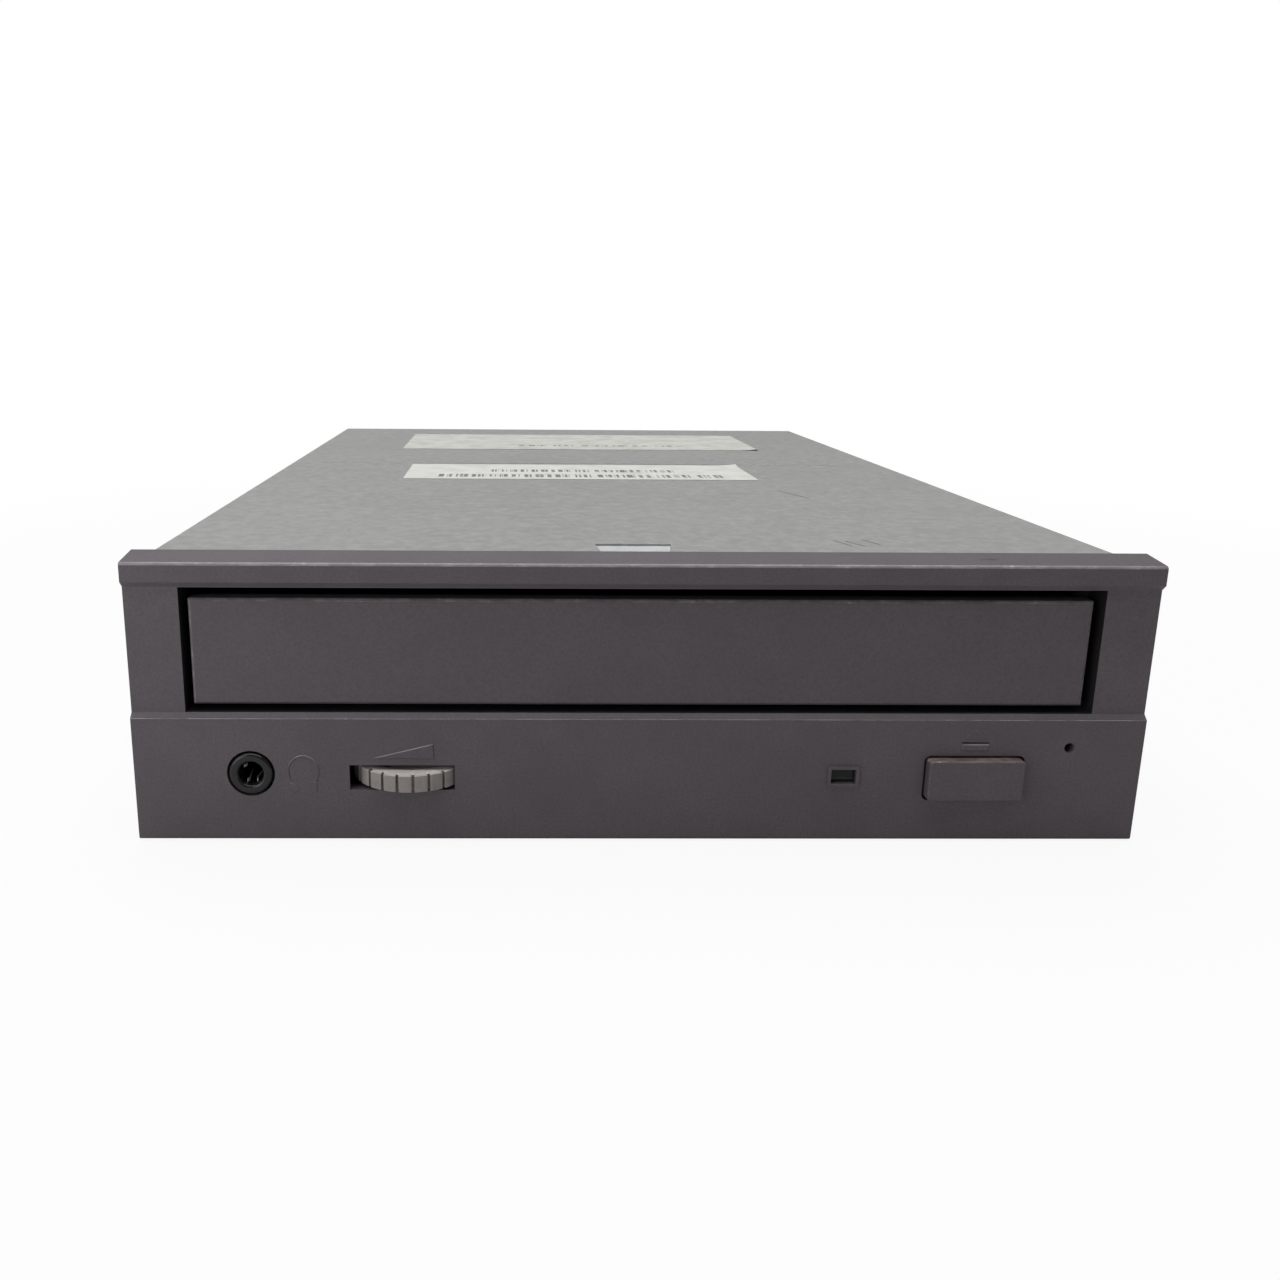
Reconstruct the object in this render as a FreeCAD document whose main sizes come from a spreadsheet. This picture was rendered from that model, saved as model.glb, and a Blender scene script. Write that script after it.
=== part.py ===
import FreeCAD, Part
import math
import os

import Sketcher
from FreeCAD import Placement, Rotation, Vector

# A half-height optical disc drive for a 5.25 inch bay, tray loading, with a 50-way parallel connector.
# X points right seen from the front, Y points to the back, Z points up.
# The origin is the centre of the four bottom mounting holes, on the base plane.
# Depths are counted from the front plane of the bezel, heights from the base plane.

SIZES = {
    # Housing and its standard mounting holes
    "case_width": 146.0,
    "case_height": 41.5,
    "case_depth": 202.8,
    "hole_first": 47.4,
    "hole_pitch_depth": 79.25,
    "hole_pitch_bottom": 139.7,
    "hole_low": 10.0,
    "hole_high": 21.84,
    "hole_radius": 1.25,
    "collar_radius": 2.0,
    "collar_height": 1.2,
    "pan_sheet": 1.0,
    "cover_sheet": 0.8,
    "lap_gap": 0.1,
    "seat_gap": 0.3,
    "joggle_drop": 13.0,
    "pan_emboss_width": 96.0,
    "pan_emboss_front": 54.0,
    "pan_emboss_rear": 32.5,
    "emboss_depth": 0.5,
    "emboss_corner": 8.0,
    "rear_split": 20.6,
    "bend_radius": 0.7,
    # Pressed features of the top cover
    "dimple_front_left": 5.0,
    "dimple_front_right": 4.2,
    "dimple_back_half": 5.95,
    "dimple_back": 17.7,
    "dimple_depth": 0.4,
    "bead_left": 66.0,
    "bead_right": 61.0,
    "bead_place": 118.5,
    "bead_width": 0.9,
    "bead_depth": 0.25,
    # Countersunk and pan-head screws
    "sink_radius": 2.3,
    "sink_throat": 1.45,
    "sink_depth": 0.55,
    "screw_radius": 1.2,
    "screw_clearance": 0.05,
    "head_radius": 2.6,
    "head_height": 1.5,
    "cover_screw_drop": 6.3,
    "cover_screw_front": 28.0,
    "cover_screw_rear": 22.5,
    "cover_screw_length": 4.0,
    # Front bezel
    "bezel_overhang": 1.0,
    "bezel_depth": 5.7,
    "bezel_lip": 2.8,
    "bezel_slope": 0.75,
    "bezel_wall": 2.2,
    "bezel_side_wall": 1.8,
    "ledge_front": 18.98,
    "ledge_back": 19.7,
    "band_recess": 0.81,
    "lip_gap": 0.1,
    "lip_slope": 0.8,
    "bezel_edge": 0.5,
    "opening_half": 66.2,
    "opening_low": 19.7,
    "opening_high": 38.3,
    "opening_rim": 1.4,
    "clip_gap": 1.2,
    "clip_width": 1.6,
    "clip_low": 12.6,
    "clip_high": 19.0,
    "clip_reach": 9.0,
    # Controls in the lower part of the bezel
    "jack_x": -57.0,
    "jack_z": 10.5,
    "jack_hole": 3.5,
    "jack_nose": 3.2,
    "jack_bore": 1.8,
    "jack_body_width": 9.6,
    "jack_body_back": 15.5,
    "jack_body_top": 14.2,
    "slot_left": -42.6,
    "slot_right": -27.2,
    "slot_low": 7.95,
    "slot_high": 11.8,
    "slot_relief": 0.6,
    "slot_relief_left": 1.0,
    "slot_relief_right": 1.8,
    "wheel_x": -33.9,
    "wheel_depth": 6.8,
    "wheel_radius": 9.0,
    "wheel_low": 8.7,
    "wheel_high": 11.05,
    "wheel_groove": 0.45,
    "wheel_groove_depth": 0.5,
    "wheel_ribs": 26,
    "pot_radius": 4.4,
    "pot_shaft": 1.5,
    "led_left": 28.15,
    "led_right": 31.86,
    "led_low": 9.14,
    "led_high": 11.34,
    "led_frame": 0.45,
    "led_frame_proud": 0.35,
    "led_recess": 0.45,
    "eject_left": 41.9,
    "eject_right": 56.7,
    "eject_low": 6.46,
    "eject_high": 13.41,
    "eject_corner": 0.9,
    "eject_clearance": 0.35,
    "eject_proud": 1.35,
    "eject_travel": 0.8,
    "pin_x": 63.1,
    "pin_z": 14.7,
    "pin_radius": 0.75,
    # Tray and its front panel
    "panel_left": -65.1,
    "panel_right": 64.8,
    "panel_low": 20.7,
    "panel_high": 36.6,
    "panel_front": 1.2,
    "panel_thick": 3.0,
    "panel_bevel": 0.4,
    "tray_half": 63.5,
    "tray_back": 168.0,
    "tray_bottom": 27.0,
    "tray_top": 32.5,
    "tray_wall": 1.9,
    "tray_wall_low": 22.0,
    "tray_wall_high": 35.0,
    "disc_radius": 60.5,
    "disc_floor": 29.8,
    "small_disc_radius": 40.8,
    "small_disc_floor": 28.6,
    "disc_centre": 72.0,
    "finger_radius": 17.0,
    "tray_slot_half": 23.6,
    "rail_width": 2.0,
    "rail_low": 23.5,
    "tray_travel": 138.0,
    # Loading gears
    "rack_line": -48.4,
    "rack_back": 4.6,
    "rack_low": 22.9,
    "rack_front_end": 12.0,
    "tray_module": 1.0,
    "tray_teeth": 20,
    "train_module": 0.8,
    "train_big_teeth": 30,
    "train_small_teeth": 12,
    "gear_depth": 22.0,
    "pinion_low": 23.3,
    "pinion_high": 26.6,
    "train_low": 18.6,
    "train_high": 21.4,
    "pulley_low": 14.7,
    "pulley_high": 17.7,
    "pulley_radius": 12.0,
    "motor_pulley_radius": 3.0,
    "motor_x": 9.0,
    "belt_width": 1.2,
    "belt_gap": 0.12,
    "post_radius": 1.5,
    "shaft_clearance": 0.08,
    "loader_radius": 12.0,
    "loader_low": 5.4,
    "motor_shaft_depth": 5.0,
    # Loading frame
    "frame_outer": 67.0,
    "frame_wall": 2.0,
    "frame_front": 8.0,
    "frame_back": 172.0,
    "frame_top": 33.6,
    "ledge_inner": 57.0,
    "ledge_thick": 1.8,
    "nib_reach": 3.0,
    "nib_length": 9.0,
    "nib_high": 34.3,
    "cross_front": 35.6,
    "cross_thick": 2.0,
    "cross_low": 6.4,
    "deck_low": 13.0,
    "deck_thick": 1.2,
    "foot_x": 60.5,
    "foot_front": 30.0,
    "foot_back": 160.0,
    "foot_radius": 3.0,
    # Lifting traverse, sizes in its raised level place
    "pivot_depth": 165.0,
    "pivot_height": 19.0,
    "pivot_radius": 1.8,
    "lift_angle": 3.6,
    "lift_half": 46.0,
    "lift_window": 41.0,
    "lift_front": 42.2,
    "lift_back": 168.0,
    "lift_low": 17.0,
    "lift_high": 21.8,
    "lift_window_front": 48.0,
    "lift_window_back": 161.5,
    "cam_pin_x": 14.0,
    "cam_pin_z": 19.5,
    "cam_pin_radius": 1.5,
    "cam_front": 38.0,
    "cam_thick": 2.5,
    "cam_low": 7.4,
    "cam_high": 24.0,
    "cam_half": 30.0,
    "cam_travel": 14.0,
    "cam_clearance": 0.3,
    "guide_inner": 10.0,
    "guide_outer": 22.0,
    "plate_low": 20.5,
    "plate_thick": 1.2,
    "plate_half": 36.0,
    "plate_front": 50.0,
    "plate_back": 158.5,
    "sled_slot_half": 19.0,
    "sled_slot_front": 86.5,
    "sled_slot_back": 156.0,
    "ear_x": 39.0,
    "ear_front": 60.0,
    "ear_back": 150.0,
    "ear_radius": 4.6,
    "damper_radius": 3.6,
    "damper_neck": 2.6,
    "damper_low": 18.6,
    "damper_high": 23.2,
    # Spindle
    "seat_height": 31.5,
    "spindle_radius": 11.5,
    "spindle_low": 15.5,
    "spindle_high": 24.0,
    "spindle_flange": 14.0,
    "spindle_shaft": 1.0,
    "turntable_radius": 15.0,
    "turntable_thick": 2.2,
    "pad_thick": 0.5,
    "cone_base": 7.4,
    "cone_tip": 5.6,
    "cone_height": 2.0,
    "magnet_radius": 4.2,
    # Pickup and its drive
    "rod_x": 21.0,
    "rod_z": 24.1,
    "rod_radius": 1.5,
    "rod_front": 58.0,
    "lens_inner": 22.0,
    "pickup_travel": 36.0,
    "sled_half": 17.5,
    "sled_fore": 7.0,
    "sled_aft": 21.0,
    "sled_low": 17.5,
    "sled_high": 26.2,
    "bush_half": 2.1,
    "bush_outer": 24.6,
    "lens_radius": 2.6,
    "lens_top": 29.2,
    "lens_proud": 1.0,
    "lens_crown": 0.4,
    "actuator_half": 10.85,
    "actuator_fore": 5.5,
    "actuator_aft": 9.0,
    "sled_module": 0.6,
    "sled_teeth": 14,
    "sled_rack_line": 28.4,
    "sled_rack_fore": 14.0,
    "sled_rack_aft": 28.0,
    "sled_gear_depth": 119.0,
    "drive_module": 0.5,
    "drive_big_teeth": 26,
    "drive_small_teeth": 10,
    "drive_face": 2.2,
    "sled_rack_under": 1.2,
    "sled_rack_over": 0.6,
    "bracket_half": 4.4,
    "bracket_leg": 1.2,
    "sled_motor_radius": 7.0,
    "sled_motor_low": 11.4,
    "sled_shaft": 0.8,
    "sled_shaft_depth": 3.0,
    # Clamp
    "bridge_low": 36.2,
    "bridge_sheet": 1.0,
    "bridge_half": 66.6,
    "bridge_front": 54.0,
    "bridge_back": 90.0,
    "bridge_hole": 12.0,
    "clamper_radius": 11.5,
    "clamper_low": 33.0,
    "clamper_flange": 14.5,
    "clamper_high": 38.8,
    "clamper_recess": 1.5,
    "yoke_thick": 0.6,
    # Boards and connectors
    "board_low": 4.0,
    "board_thick": 1.6,
    "board_front": 45.0,
    "board_narrow": 56.5,
    "board_gap": 1.2,
    "board_rear_gap": 1.9,
    "board_wide_depth": 31.6,
    "stand_x": 52.0,
    "stand_front": 50.0,
    "stand_rear_edge": 4.3,
    "stand_rear": 27.5,
    "stand_radius": 2.8,
    "control_low": 3.2,
    "control_thick": 1.2,
    "control_front": 3.2,
    "control_back": 26.0,
    "control_half": 64.0,
    "pin_pitch": 2.54,
    "pin_half": 0.32,
    "header_gap": 2.65,
    "header_end": 3.8,
    "header_height": 9.1,
    "header_depth": 9.2,
    "header_wall": 1.3,
    "header_columns": 25,
    "header_key": 4.6,
    "power_gap": 3.2,
    "power_width": 23.6,
    "power_height": 11.0,
    "power_depth": 16.0,
    "power_pitch": 5.08,
    "jumper_gap": 2.33,
    "jumper_inset": 3.0,
    "jumper_columns": 6,
    "audio_width": 12.3,
    "audio_height": 7.2,
    "digital_width": 7.2,
    "digital_gap": 2.8,
    "audio_gap": 1.65,
    "window_gap": 0.5,
    # Chips and capacitors on the main board
    "chip_height": 2.4,
    "servo_x": -30.0,
    "servo_depth": 82.0,
    "servo_half": 12.0,
    "decoder_x": 4.0,
    "decoder_depth": 130.0,
    "decoder_half": 10.0,
    "decoder_long": 14.0,
    "buffer_x": -28.0,
    "buffer_depth": 118.0,
    "buffer_half": 5.0,
    "buffer_long": 9.0,
    "driver_x": 32.0,
    "driver_depth": 76.0,
    "driver_half": 8.0,
    "interface_x": -34.0,
    "interface_rear": 44.5,
    "interface_half": 10.0,
    "interface_long": 7.0,
    "program_x": 20.0,
    "program_rear": 40.5,
    "program_half": 9.0,
    "program_long": 5.0,
    "capacitor_radius": 3.2,
    "capacitor_height": 9.0,
    "capacitor_rear": 21.5,
    "capacitor_first": -38.0,
    "capacitor_pitch": 15.0,
    "capacitor_count": 5,
    # Flat ribbons and their sockets
    "ribbon_half": 6.0,
    "socket_half": 7.0,
    "socket_long": 4.0,
    "socket_height": 2.4,
    "control_socket_x": 31.0,
    "control_socket_front": 20.0,
    "control_bend": 41.0,
    "main_socket_gap": 2.0,
    "deck_socket_x": -28.5,
    "deck_socket_half": 6.0,
    "deck_socket_front": 140.0,
    "deck_ribbon_half": 5.0,
    "deck_ribbon_reach": 8.0,
    "deck_ribbon_low": 12.0,
    "deck_ribbon_rise": 4.0,
    "deck_ribbon_gap": 1.5,
    "ribbon_lift": 0.6,
    "ribbon_seat": 0.9,
}


class Size:
    """A length that knows its value and the sheet expression that gives it."""

    def __init__(self, value, text):
        self.value = float(value)
        self.text = text

    def __add__(self, other):
        other = as_size(other)
        return Size(self.value + other.value, f"({self.text} + {other.text})")

    def __sub__(self, other):
        other = as_size(other)
        return Size(self.value - other.value, f"({self.text} - {other.text})")

    def __mul__(self, other):
        other = as_size(other)
        return Size(self.value * other.value, f"({self.text} * {other.text})")

    def __truediv__(self, other):
        other = as_size(other)
        return Size(self.value / other.value, f"({self.text} / {other.text})")

    def __radd__(self, other):
        return as_size(other) + self

    def __rsub__(self, other):
        return as_size(other) - self

    def __rmul__(self, other):
        return as_size(other) * self

    def __neg__(self):
        return Size(-self.value, f"(0 - {self.text})")


def as_size(amount):
    """A plain number as a Size."""
    if isinstance(amount, Size):
        return amount
    return Size(amount, repr(float(amount)))


doc = FreeCAD.newDocument("disc_drive")
sheet = doc.addObject("Spreadsheet::Sheet", "Sizes")
for row, (alias, value) in enumerate(SIZES.items(), start=1):
    sheet.set(f"A{row}", alias)
    sheet.set(f"B{row}", str(value))
    sheet.setAlias(f"B{row}", alias)
doc.recompute()


class Named:
    """The rows of the sheet by name."""

    def __getattr__(self, name):
        return Size(SIZES[name], f"Sizes.{name}")


s = Named()
kept = []


def bind(thing, path, amount):
    """Tie one property to the sheet."""
    thing.setExpression(path, as_size(amount).text)


def keep(thing, name):
    """Mark a finished sub-part."""
    thing.Label = name
    kept.append(thing)
    return thing


# Sketch outlines: each returns a function that draws it, every point tied to the sheet.

def fix_point(rules, texts, geometry, end, x, y):
    """Hold one end of a sketch line at a place counted from the sketch's origin."""
    for kind, axis, amount in (("DistanceX", -2, x), ("DistanceY", -1, y)):
        amount = as_size(amount)
        if abs(amount.value) < 1e-9:
            rules.append(Sketcher.Constraint("PointOnObject", geometry, end, axis))
            continue
        rules.append(Sketcher.Constraint(kind, -1, 1, geometry, end, amount.value))
        texts.append((len(rules) - 1, amount.text))


def write_rules(drawing, rules, texts):
    """Put the rules into the sketch and tie their numbers to the sheet."""
    offset = drawing.ConstraintCount
    drawing.addConstraint(rules)
    for place, text in texts:
        drawing.setExpression(f"Constraints[{offset + place}]", text)


def polygon(*points):
    def draw(drawing):
        first = drawing.GeometryCount
        count = len(points)
        corners = [Vector(as_size(x).value, as_size(y).value, 0) for x, y in points]
        lines = [Part.LineSegment(corners[i], corners[(i + 1) % count]) for i in range(count)]
        drawing.addGeometry(lines, False)
        rules = []
        texts = []
        for i, (x, y) in enumerate(points):
            here = first + i
            after = first + (i + 1) % count
            rules.append(Sketcher.Constraint("Coincident", here, 2, after, 1))
            fix_point(rules, texts, here, 1, x, y)
        write_rules(drawing, rules, texts)
    return draw


def rectangle(x, y):
    return polygon((x[0], y[0]), (x[1], y[0]), (x[1], y[1]), (x[0], y[1]))


def circle(x, y, radius):
    def draw(drawing):
        here = drawing.GeometryCount
        radius_size = as_size(radius)
        centre = Vector(as_size(x).value, as_size(y).value, 0)
        drawing.addGeometry(Part.Circle(centre, Vector(0, 0, 1), radius_size.value), False)
        rules = [Sketcher.Constraint("Radius", here, radius_size.value)]
        texts = [(0, radius_size.text)]
        fix_point(rules, texts, here, 3, x, y)
        write_rules(drawing, rules, texts)
    return draw


class Piece:
    """One body, shaped step by step. A span runs along the axis that the plane leaves out."""

    def __init__(self, name):
        self.body = doc.addObject("PartDesign::Body", name)
        self.count = 0
        keep(self.body, name)

    def name_step(self, kind):
        self.count += 1
        return f"{self.body.Name}_{kind}_{self.count}"

    def sketch(self, plane, level, loops):
        drawing = self.body.newObject("Sketcher::SketchObject", self.name_step("sketch"))
        support = [item for item in self.body.Origin.OriginFeatures if item.Role == f"{plane}_Plane"]
        drawing.AttachmentSupport = (support[0], [""])
        drawing.MapMode = "FlatFace"
        level = as_size(level)
        bind(drawing, "AttachmentOffset.Base.z", -level if plane == "XZ" else level)
        for loop in loops:
            loop(drawing)
        return drawing

    def pad(self, plane, span, *loops):
        drawing = self.sketch(plane, span[0], loops)
        step = self.body.newObject("PartDesign::Pad", self.name_step("pad"))
        step.Profile = drawing
        step.Reversed = plane == "XZ"
        bind(step, "Length", as_size(span[1]) - span[0])
        return self.settle(step)

    def pocket(self, plane, span, *loops):
        before = self.body.Tip.Shape.Volume
        drawing = self.sketch(plane, span[0] if plane == "XZ" else span[1], loops)
        step = self.body.newObject("PartDesign::Pocket", self.name_step("pocket"))
        step.Profile = drawing
        bind(step, "Length", as_size(span[1]) - span[0])
        self.settle(step)
        if step.Shape.Volume >= before:
            raise RuntimeError(f"{step.Name} cuts nothing")
        return step

    def revolve(self, loops):
        """Turn a half outline drawn on XZ about the Z axis."""
        drawing = self.sketch("XZ", 0, loops)
        step = self.body.newObject("PartDesign::Revolution", self.name_step("revolution"))
        step.Profile = drawing
        step.ReferenceAxis = (drawing, ["V_Axis"])
        step.Angle = 360
        return self.settle(step)

    def dress(self, kind, amount, pick):
        """Fillet or chamfer the edges that pick chooses."""
        base = self.body.Tip
        edges = [f"Edge{i}" for i, edge in enumerate(base.Shape.Edges, start=1) if pick(edge)]
        if not edges:
            raise RuntimeError(f"{self.body.Name}: no edge for the {kind}")
        step = self.body.newObject(f"PartDesign::{kind}", self.name_step(kind.lower()))
        step.Base = (base, edges)
        bind(step, "Radius" if kind == "Fillet" else "Size", amount)
        return self.settle(step)

    def settle(self, step):
        self.body.Tip = step
        doc.recompute()
        if not step.isValid() or step.Shape.isNull():
            raise RuntimeError(f"{step.Name} failed")
        return step


def straight(axis, **places):
    """Pick straight edges along an axis, at the given coordinates."""
    direction = {"x": Vector(1, 0, 0), "y": Vector(0, 1, 0), "z": Vector(0, 0, 1)}[axis]

    def pick(edge):
        if edge.Curve.TypeId != "Part::GeomLine":
            return False
        if abs(abs(edge.Curve.Direction * direction) - 1) > 1e-6:
            return False
        middle = edge.valueAt((edge.FirstParameter + edge.LastParameter) / 2)
        for name, wanted in places.items():
            options = wanted if isinstance(wanted, (tuple, list)) else (wanted,)
            here = getattr(middle, name)
            if all(abs(here - as_size(option).value) > 0.02 for option in options):
                return False
        return True
    return pick


def round_the_face(depth):
    """Pick the edges that lie in an upright face at this depth."""
    return lambda edge: all(abs(v.Y - depth.value) < 0.01 for v in edge.Vertexes)


# Plain solids, tied to the sheet, and the ways to join them.

def block(name, x, y, z):
    thing = doc.addObject("Part::Box", name)
    for side, axis, span in (("Length", "x", x), ("Width", "y", y), ("Height", "z", z)):
        bind(thing, side, as_size(span[1]) - span[0])
        bind(thing, f"Placement.Base.{axis}", span[0])
    return thing


TURNS = {
    "x": Rotation(Vector(0, 1, 0), 90),
    "y": Rotation(Vector(1, 0, 0), -90),
    "z": Rotation(),
}


def place_along(thing, axis, centre, start):
    """Stand a round solid along an axis, from start, at the two other coordinates."""
    thing.Placement = Placement(Vector(0, 0, 0), TURNS[axis])
    others = [name for name in "xyz" if name != axis]
    bind(thing, f"Placement.Base.{axis}", start)
    bind(thing, f"Placement.Base.{others[0]}", centre[0])
    bind(thing, f"Placement.Base.{others[1]}", centre[1])
    return thing


def rod(name, axis, centre, span, radius):
    thing = doc.addObject("Part::Cylinder", name)
    bind(thing, "Radius", radius)
    bind(thing, "Height", as_size(span[1]) - span[0])
    return place_along(thing, axis, centre, span[0])


def taper(name, axis, centre, span, radii):
    thing = doc.addObject("Part::Cone", name)
    bind(thing, "Radius1", radii[0])
    bind(thing, "Radius2", radii[1])
    bind(thing, "Height", as_size(span[1]) - span[0])
    return place_along(thing, axis, centre, span[0])


def fuse(name, parts):
    thing = doc.addObject("Part::MultiFuse", name)
    thing.Shapes = parts
    return thing


def cut(name, base, tools):
    thing = doc.addObject("Part::Cut", name)
    thing.Base = base
    thing.Tool = tools[0] if len(tools) == 1 else fuse(f"{name}_tools", tools)
    return thing


def group(name, parts):
    thing = doc.addObject("Part::Compound", name)
    thing.Links = parts
    return thing


def solid(name, shape):
    """A sub-part whose outline follows a formula."""
    thing = doc.addObject("Part::Feature", name)
    thing.Shape = shape
    return thing


def prism(points, low, high):
    """An upright solid on a closed outline of (x, y) points."""
    corners = [Vector(x, y, low) for x, y in points]
    face = Part.Face(Part.makePolygon(corners + corners[:1]))
    return face.extrude(Vector(0, 0, high - low))


# Places that many pieces share.
front = -(s.bezel_depth + s.hole_first + s.hole_pitch_depth / 2)
case_front = front + s.bezel_depth
case_back = case_front + s.case_depth
half = s.case_width / 2
cover_under = s.case_height - s.cover_sheet
pan_inner = half - s.pan_sheet
disc_y = front + s.disc_centre
board_top = s.board_low + s.board_thick
control_top = s.control_low + s.control_thick
frame_inner = s.frame_outer - s.frame_wall
joggle_z = s.case_height - s.joggle_drop
hole_places = (case_front + s.hole_first, case_front + s.hole_first + s.hole_pitch_depth)
board_wide = pan_inner - s.board_gap
stand_places = (
    (s.stand_x, front + s.stand_front),
    (board_wide - s.stand_rear_edge, case_back - s.stand_rear),
)
stands = [(side * x, y) for x, y in stand_places for side in (-1, 1)]
feet = [(side * s.foot_x, front + depth) for depth in (s.foot_front, s.foot_back) for side in (-1, 1)]
cover_screw_places = [front + s.cover_screw_front, case_back - s.cover_screw_rear]
cover_screw_z = s.case_height - s.cover_screw_drop

# Connectors at the back: power, header and jumpers stand in a row from the left wall,
# the two audio sockets from the right wall.
def row_span(start, width):
    return start, start + width


power_span = row_span(-pan_inner + s.power_gap, s.power_width)
header_span = row_span(power_span[1] + s.header_gap, s.header_columns * s.pin_pitch + 2 * s.header_end)
jumper_span = row_span(header_span[1] + s.jumper_gap, s.jumper_columns * s.pin_pitch)
digital_span = row_span(pan_inner - s.digital_gap - s.digital_width, s.digital_width)
audio_span = row_span(digital_span[0] - s.audio_gap - s.audio_width, s.audio_width)
header_x = (header_span[0] + header_span[1]) / 2
rear_windows = (
    (header_span, s.header_height),
    (power_span, s.power_height),
    (jumper_span, 2 * s.pin_pitch),
    (audio_span, s.audio_height),
    (digital_span, s.audio_height),
)


# Base pan: one folded steel sheet with both side walls, the rear wall and all mounting holes.
joggle = s.cover_sheet + s.lap_gap
upper_outer = half - joggle
upper_inner = upper_outer - s.pan_sheet
pan_top = cover_under - s.lap_gap
pan = Piece("base_pan")
pan.pad(
    "XZ", (case_front + s.lap_gap, case_back),
    polygon(
        (-half, 0), (half, 0), (half, joggle_z),
        (upper_outer, joggle_z + joggle), (upper_outer, pan_top), (upper_inner, pan_top),
        (upper_inner, joggle_z + joggle + s.pan_sheet / 2),
        (pan_inner, joggle_z + s.pan_sheet / 2), (pan_inner, s.pan_sheet),
        (-pan_inner, s.pan_sheet), (-pan_inner, joggle_z + s.pan_sheet / 2),
        (-upper_inner, joggle_z + joggle + s.pan_sheet / 2), (-upper_inner, pan_top),
        (-upper_outer, pan_top), (-upper_outer, joggle_z + joggle), (-half, joggle_z),
    ),
)
pan.dress("Fillet", s.bend_radius, straight("y", x=(-half, half), z=0))
pan.pad(
    "XZ", (case_back - s.pan_sheet, case_back),
    rectangle((-pan_inner, pan_inner), (s.pan_sheet, s.rear_split)),
)
for (left, right), height in rear_windows:
    window_z = (board_top, board_top + height + s.window_gap)
    pan.pocket(
        "XZ", (case_back - 2 * s.pan_sheet, case_back + s.pan_sheet),
        rectangle((left - s.window_gap, right + s.window_gap), window_z),
    )
emboss_x = (-s.pan_emboss_width / 2, s.pan_emboss_width / 2)
emboss_y = (front + s.pan_emboss_front, case_back - s.pan_emboss_rear)
pan.pad("XY", (s.pan_sheet, s.pan_sheet + s.emboss_depth), rectangle(emboss_x, emboss_y))
pan.dress(
    "Fillet", s.emboss_corner,
    straight("z", x=emboss_x, y=emboss_y, z=s.pan_sheet + s.emboss_depth / 2),
)
pan.pocket(
    "XY", (0, s.emboss_depth),
    rectangle(
        (emboss_x[0] + s.pan_sheet, emboss_x[1] - s.pan_sheet),
        (emboss_y[0] + s.pan_sheet, emboss_y[1] - s.pan_sheet),
    ),
)
pan.dress(
    "Fillet", s.emboss_corner - s.pan_sheet,
    straight(
        "z", x=(emboss_x[0] + s.pan_sheet, emboss_x[1] - s.pan_sheet),
        y=(emboss_y[0] + s.pan_sheet, emboss_y[1] - s.pan_sheet),
    ),
)
bottom_holes = [(side * s.hole_pitch_bottom / 2, y) for y in hole_places for side in (-1, 1)]
pan.pad(
    "XY", (s.pan_sheet / 2, s.pan_sheet + s.collar_height),
    *[circle(x, y, s.collar_radius) for x, y in bottom_holes],
)
pan.pad("XY", (s.pan_sheet / 2, s.board_low), *[circle(x, y, s.stand_radius) for x, y in stands])
pan.pocket(
    "XY", (-s.pan_sheet, 2 * s.board_low),
    *[circle(x, y, s.hole_radius) for x, y in bottom_holes + stands],
)
side_holes = [(y, z) for y in hole_places for z in (s.hole_low, s.hole_high)]
for inner, outer in ((-half + s.pan_sheet / 2, -pan_inner + s.collar_height),
                     (pan_inner - s.collar_height, half - s.pan_sheet / 2)):
    pan.pad("YZ", (inner, outer), *[circle(y, z, s.collar_radius) for y, z in side_holes])
pan.pocket(
    "YZ", (-half - s.pan_sheet, half + s.pan_sheet),
    *[circle(y, z, s.hole_radius) for y, z in side_holes],
    *[circle(y, cover_screw_z, s.hole_radius) for y in cover_screw_places],
)
pan.pocket("XY", (-s.pan_sheet, 2 * s.pan_sheet), *[circle(x, y, s.sink_throat) for x, y in feet])
pan.pocket("XY", (-s.pan_sheet, s.sink_depth), *[circle(x, y, s.sink_radius + s.lap_gap) for x, y in feet])


# Top cover: a folded sheet, its top pressed with a front dimple and a cross bead, flanges lapping the pan.
cover = Piece("top_cover")
cover_edge = joggle_z + joggle + s.seat_gap
cover_inner = half - s.cover_sheet
cover.pad(
    "XZ", (case_front + s.lap_gap, case_back),
    polygon(
        (-half, cover_edge), (-half, s.case_height), (half, s.case_height), (half, cover_edge),
        (cover_inner, cover_edge), (cover_inner, cover_under), (-cover_inner, cover_under),
        (-cover_inner, cover_edge),
    ),
)
cover.dress("Fillet", s.bend_radius, straight("y", x=(-half, half), z=s.case_height))
cover.pad(
    "XZ", (case_back - s.cover_sheet, case_back),
    rectangle((-upper_inner, upper_inner), (s.rear_split + s.seat_gap, cover_under + s.cover_sheet / 2)),
)


def dimple(start):
    """The pressed trapezoid, from start to its back edge."""
    end = front + s.dimple_back
    return polygon(
        (-s.dimple_front_left, start), (s.dimple_front_right, start),
        (s.dimple_back_half, end), (-s.dimple_back_half, end),
    )


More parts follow.
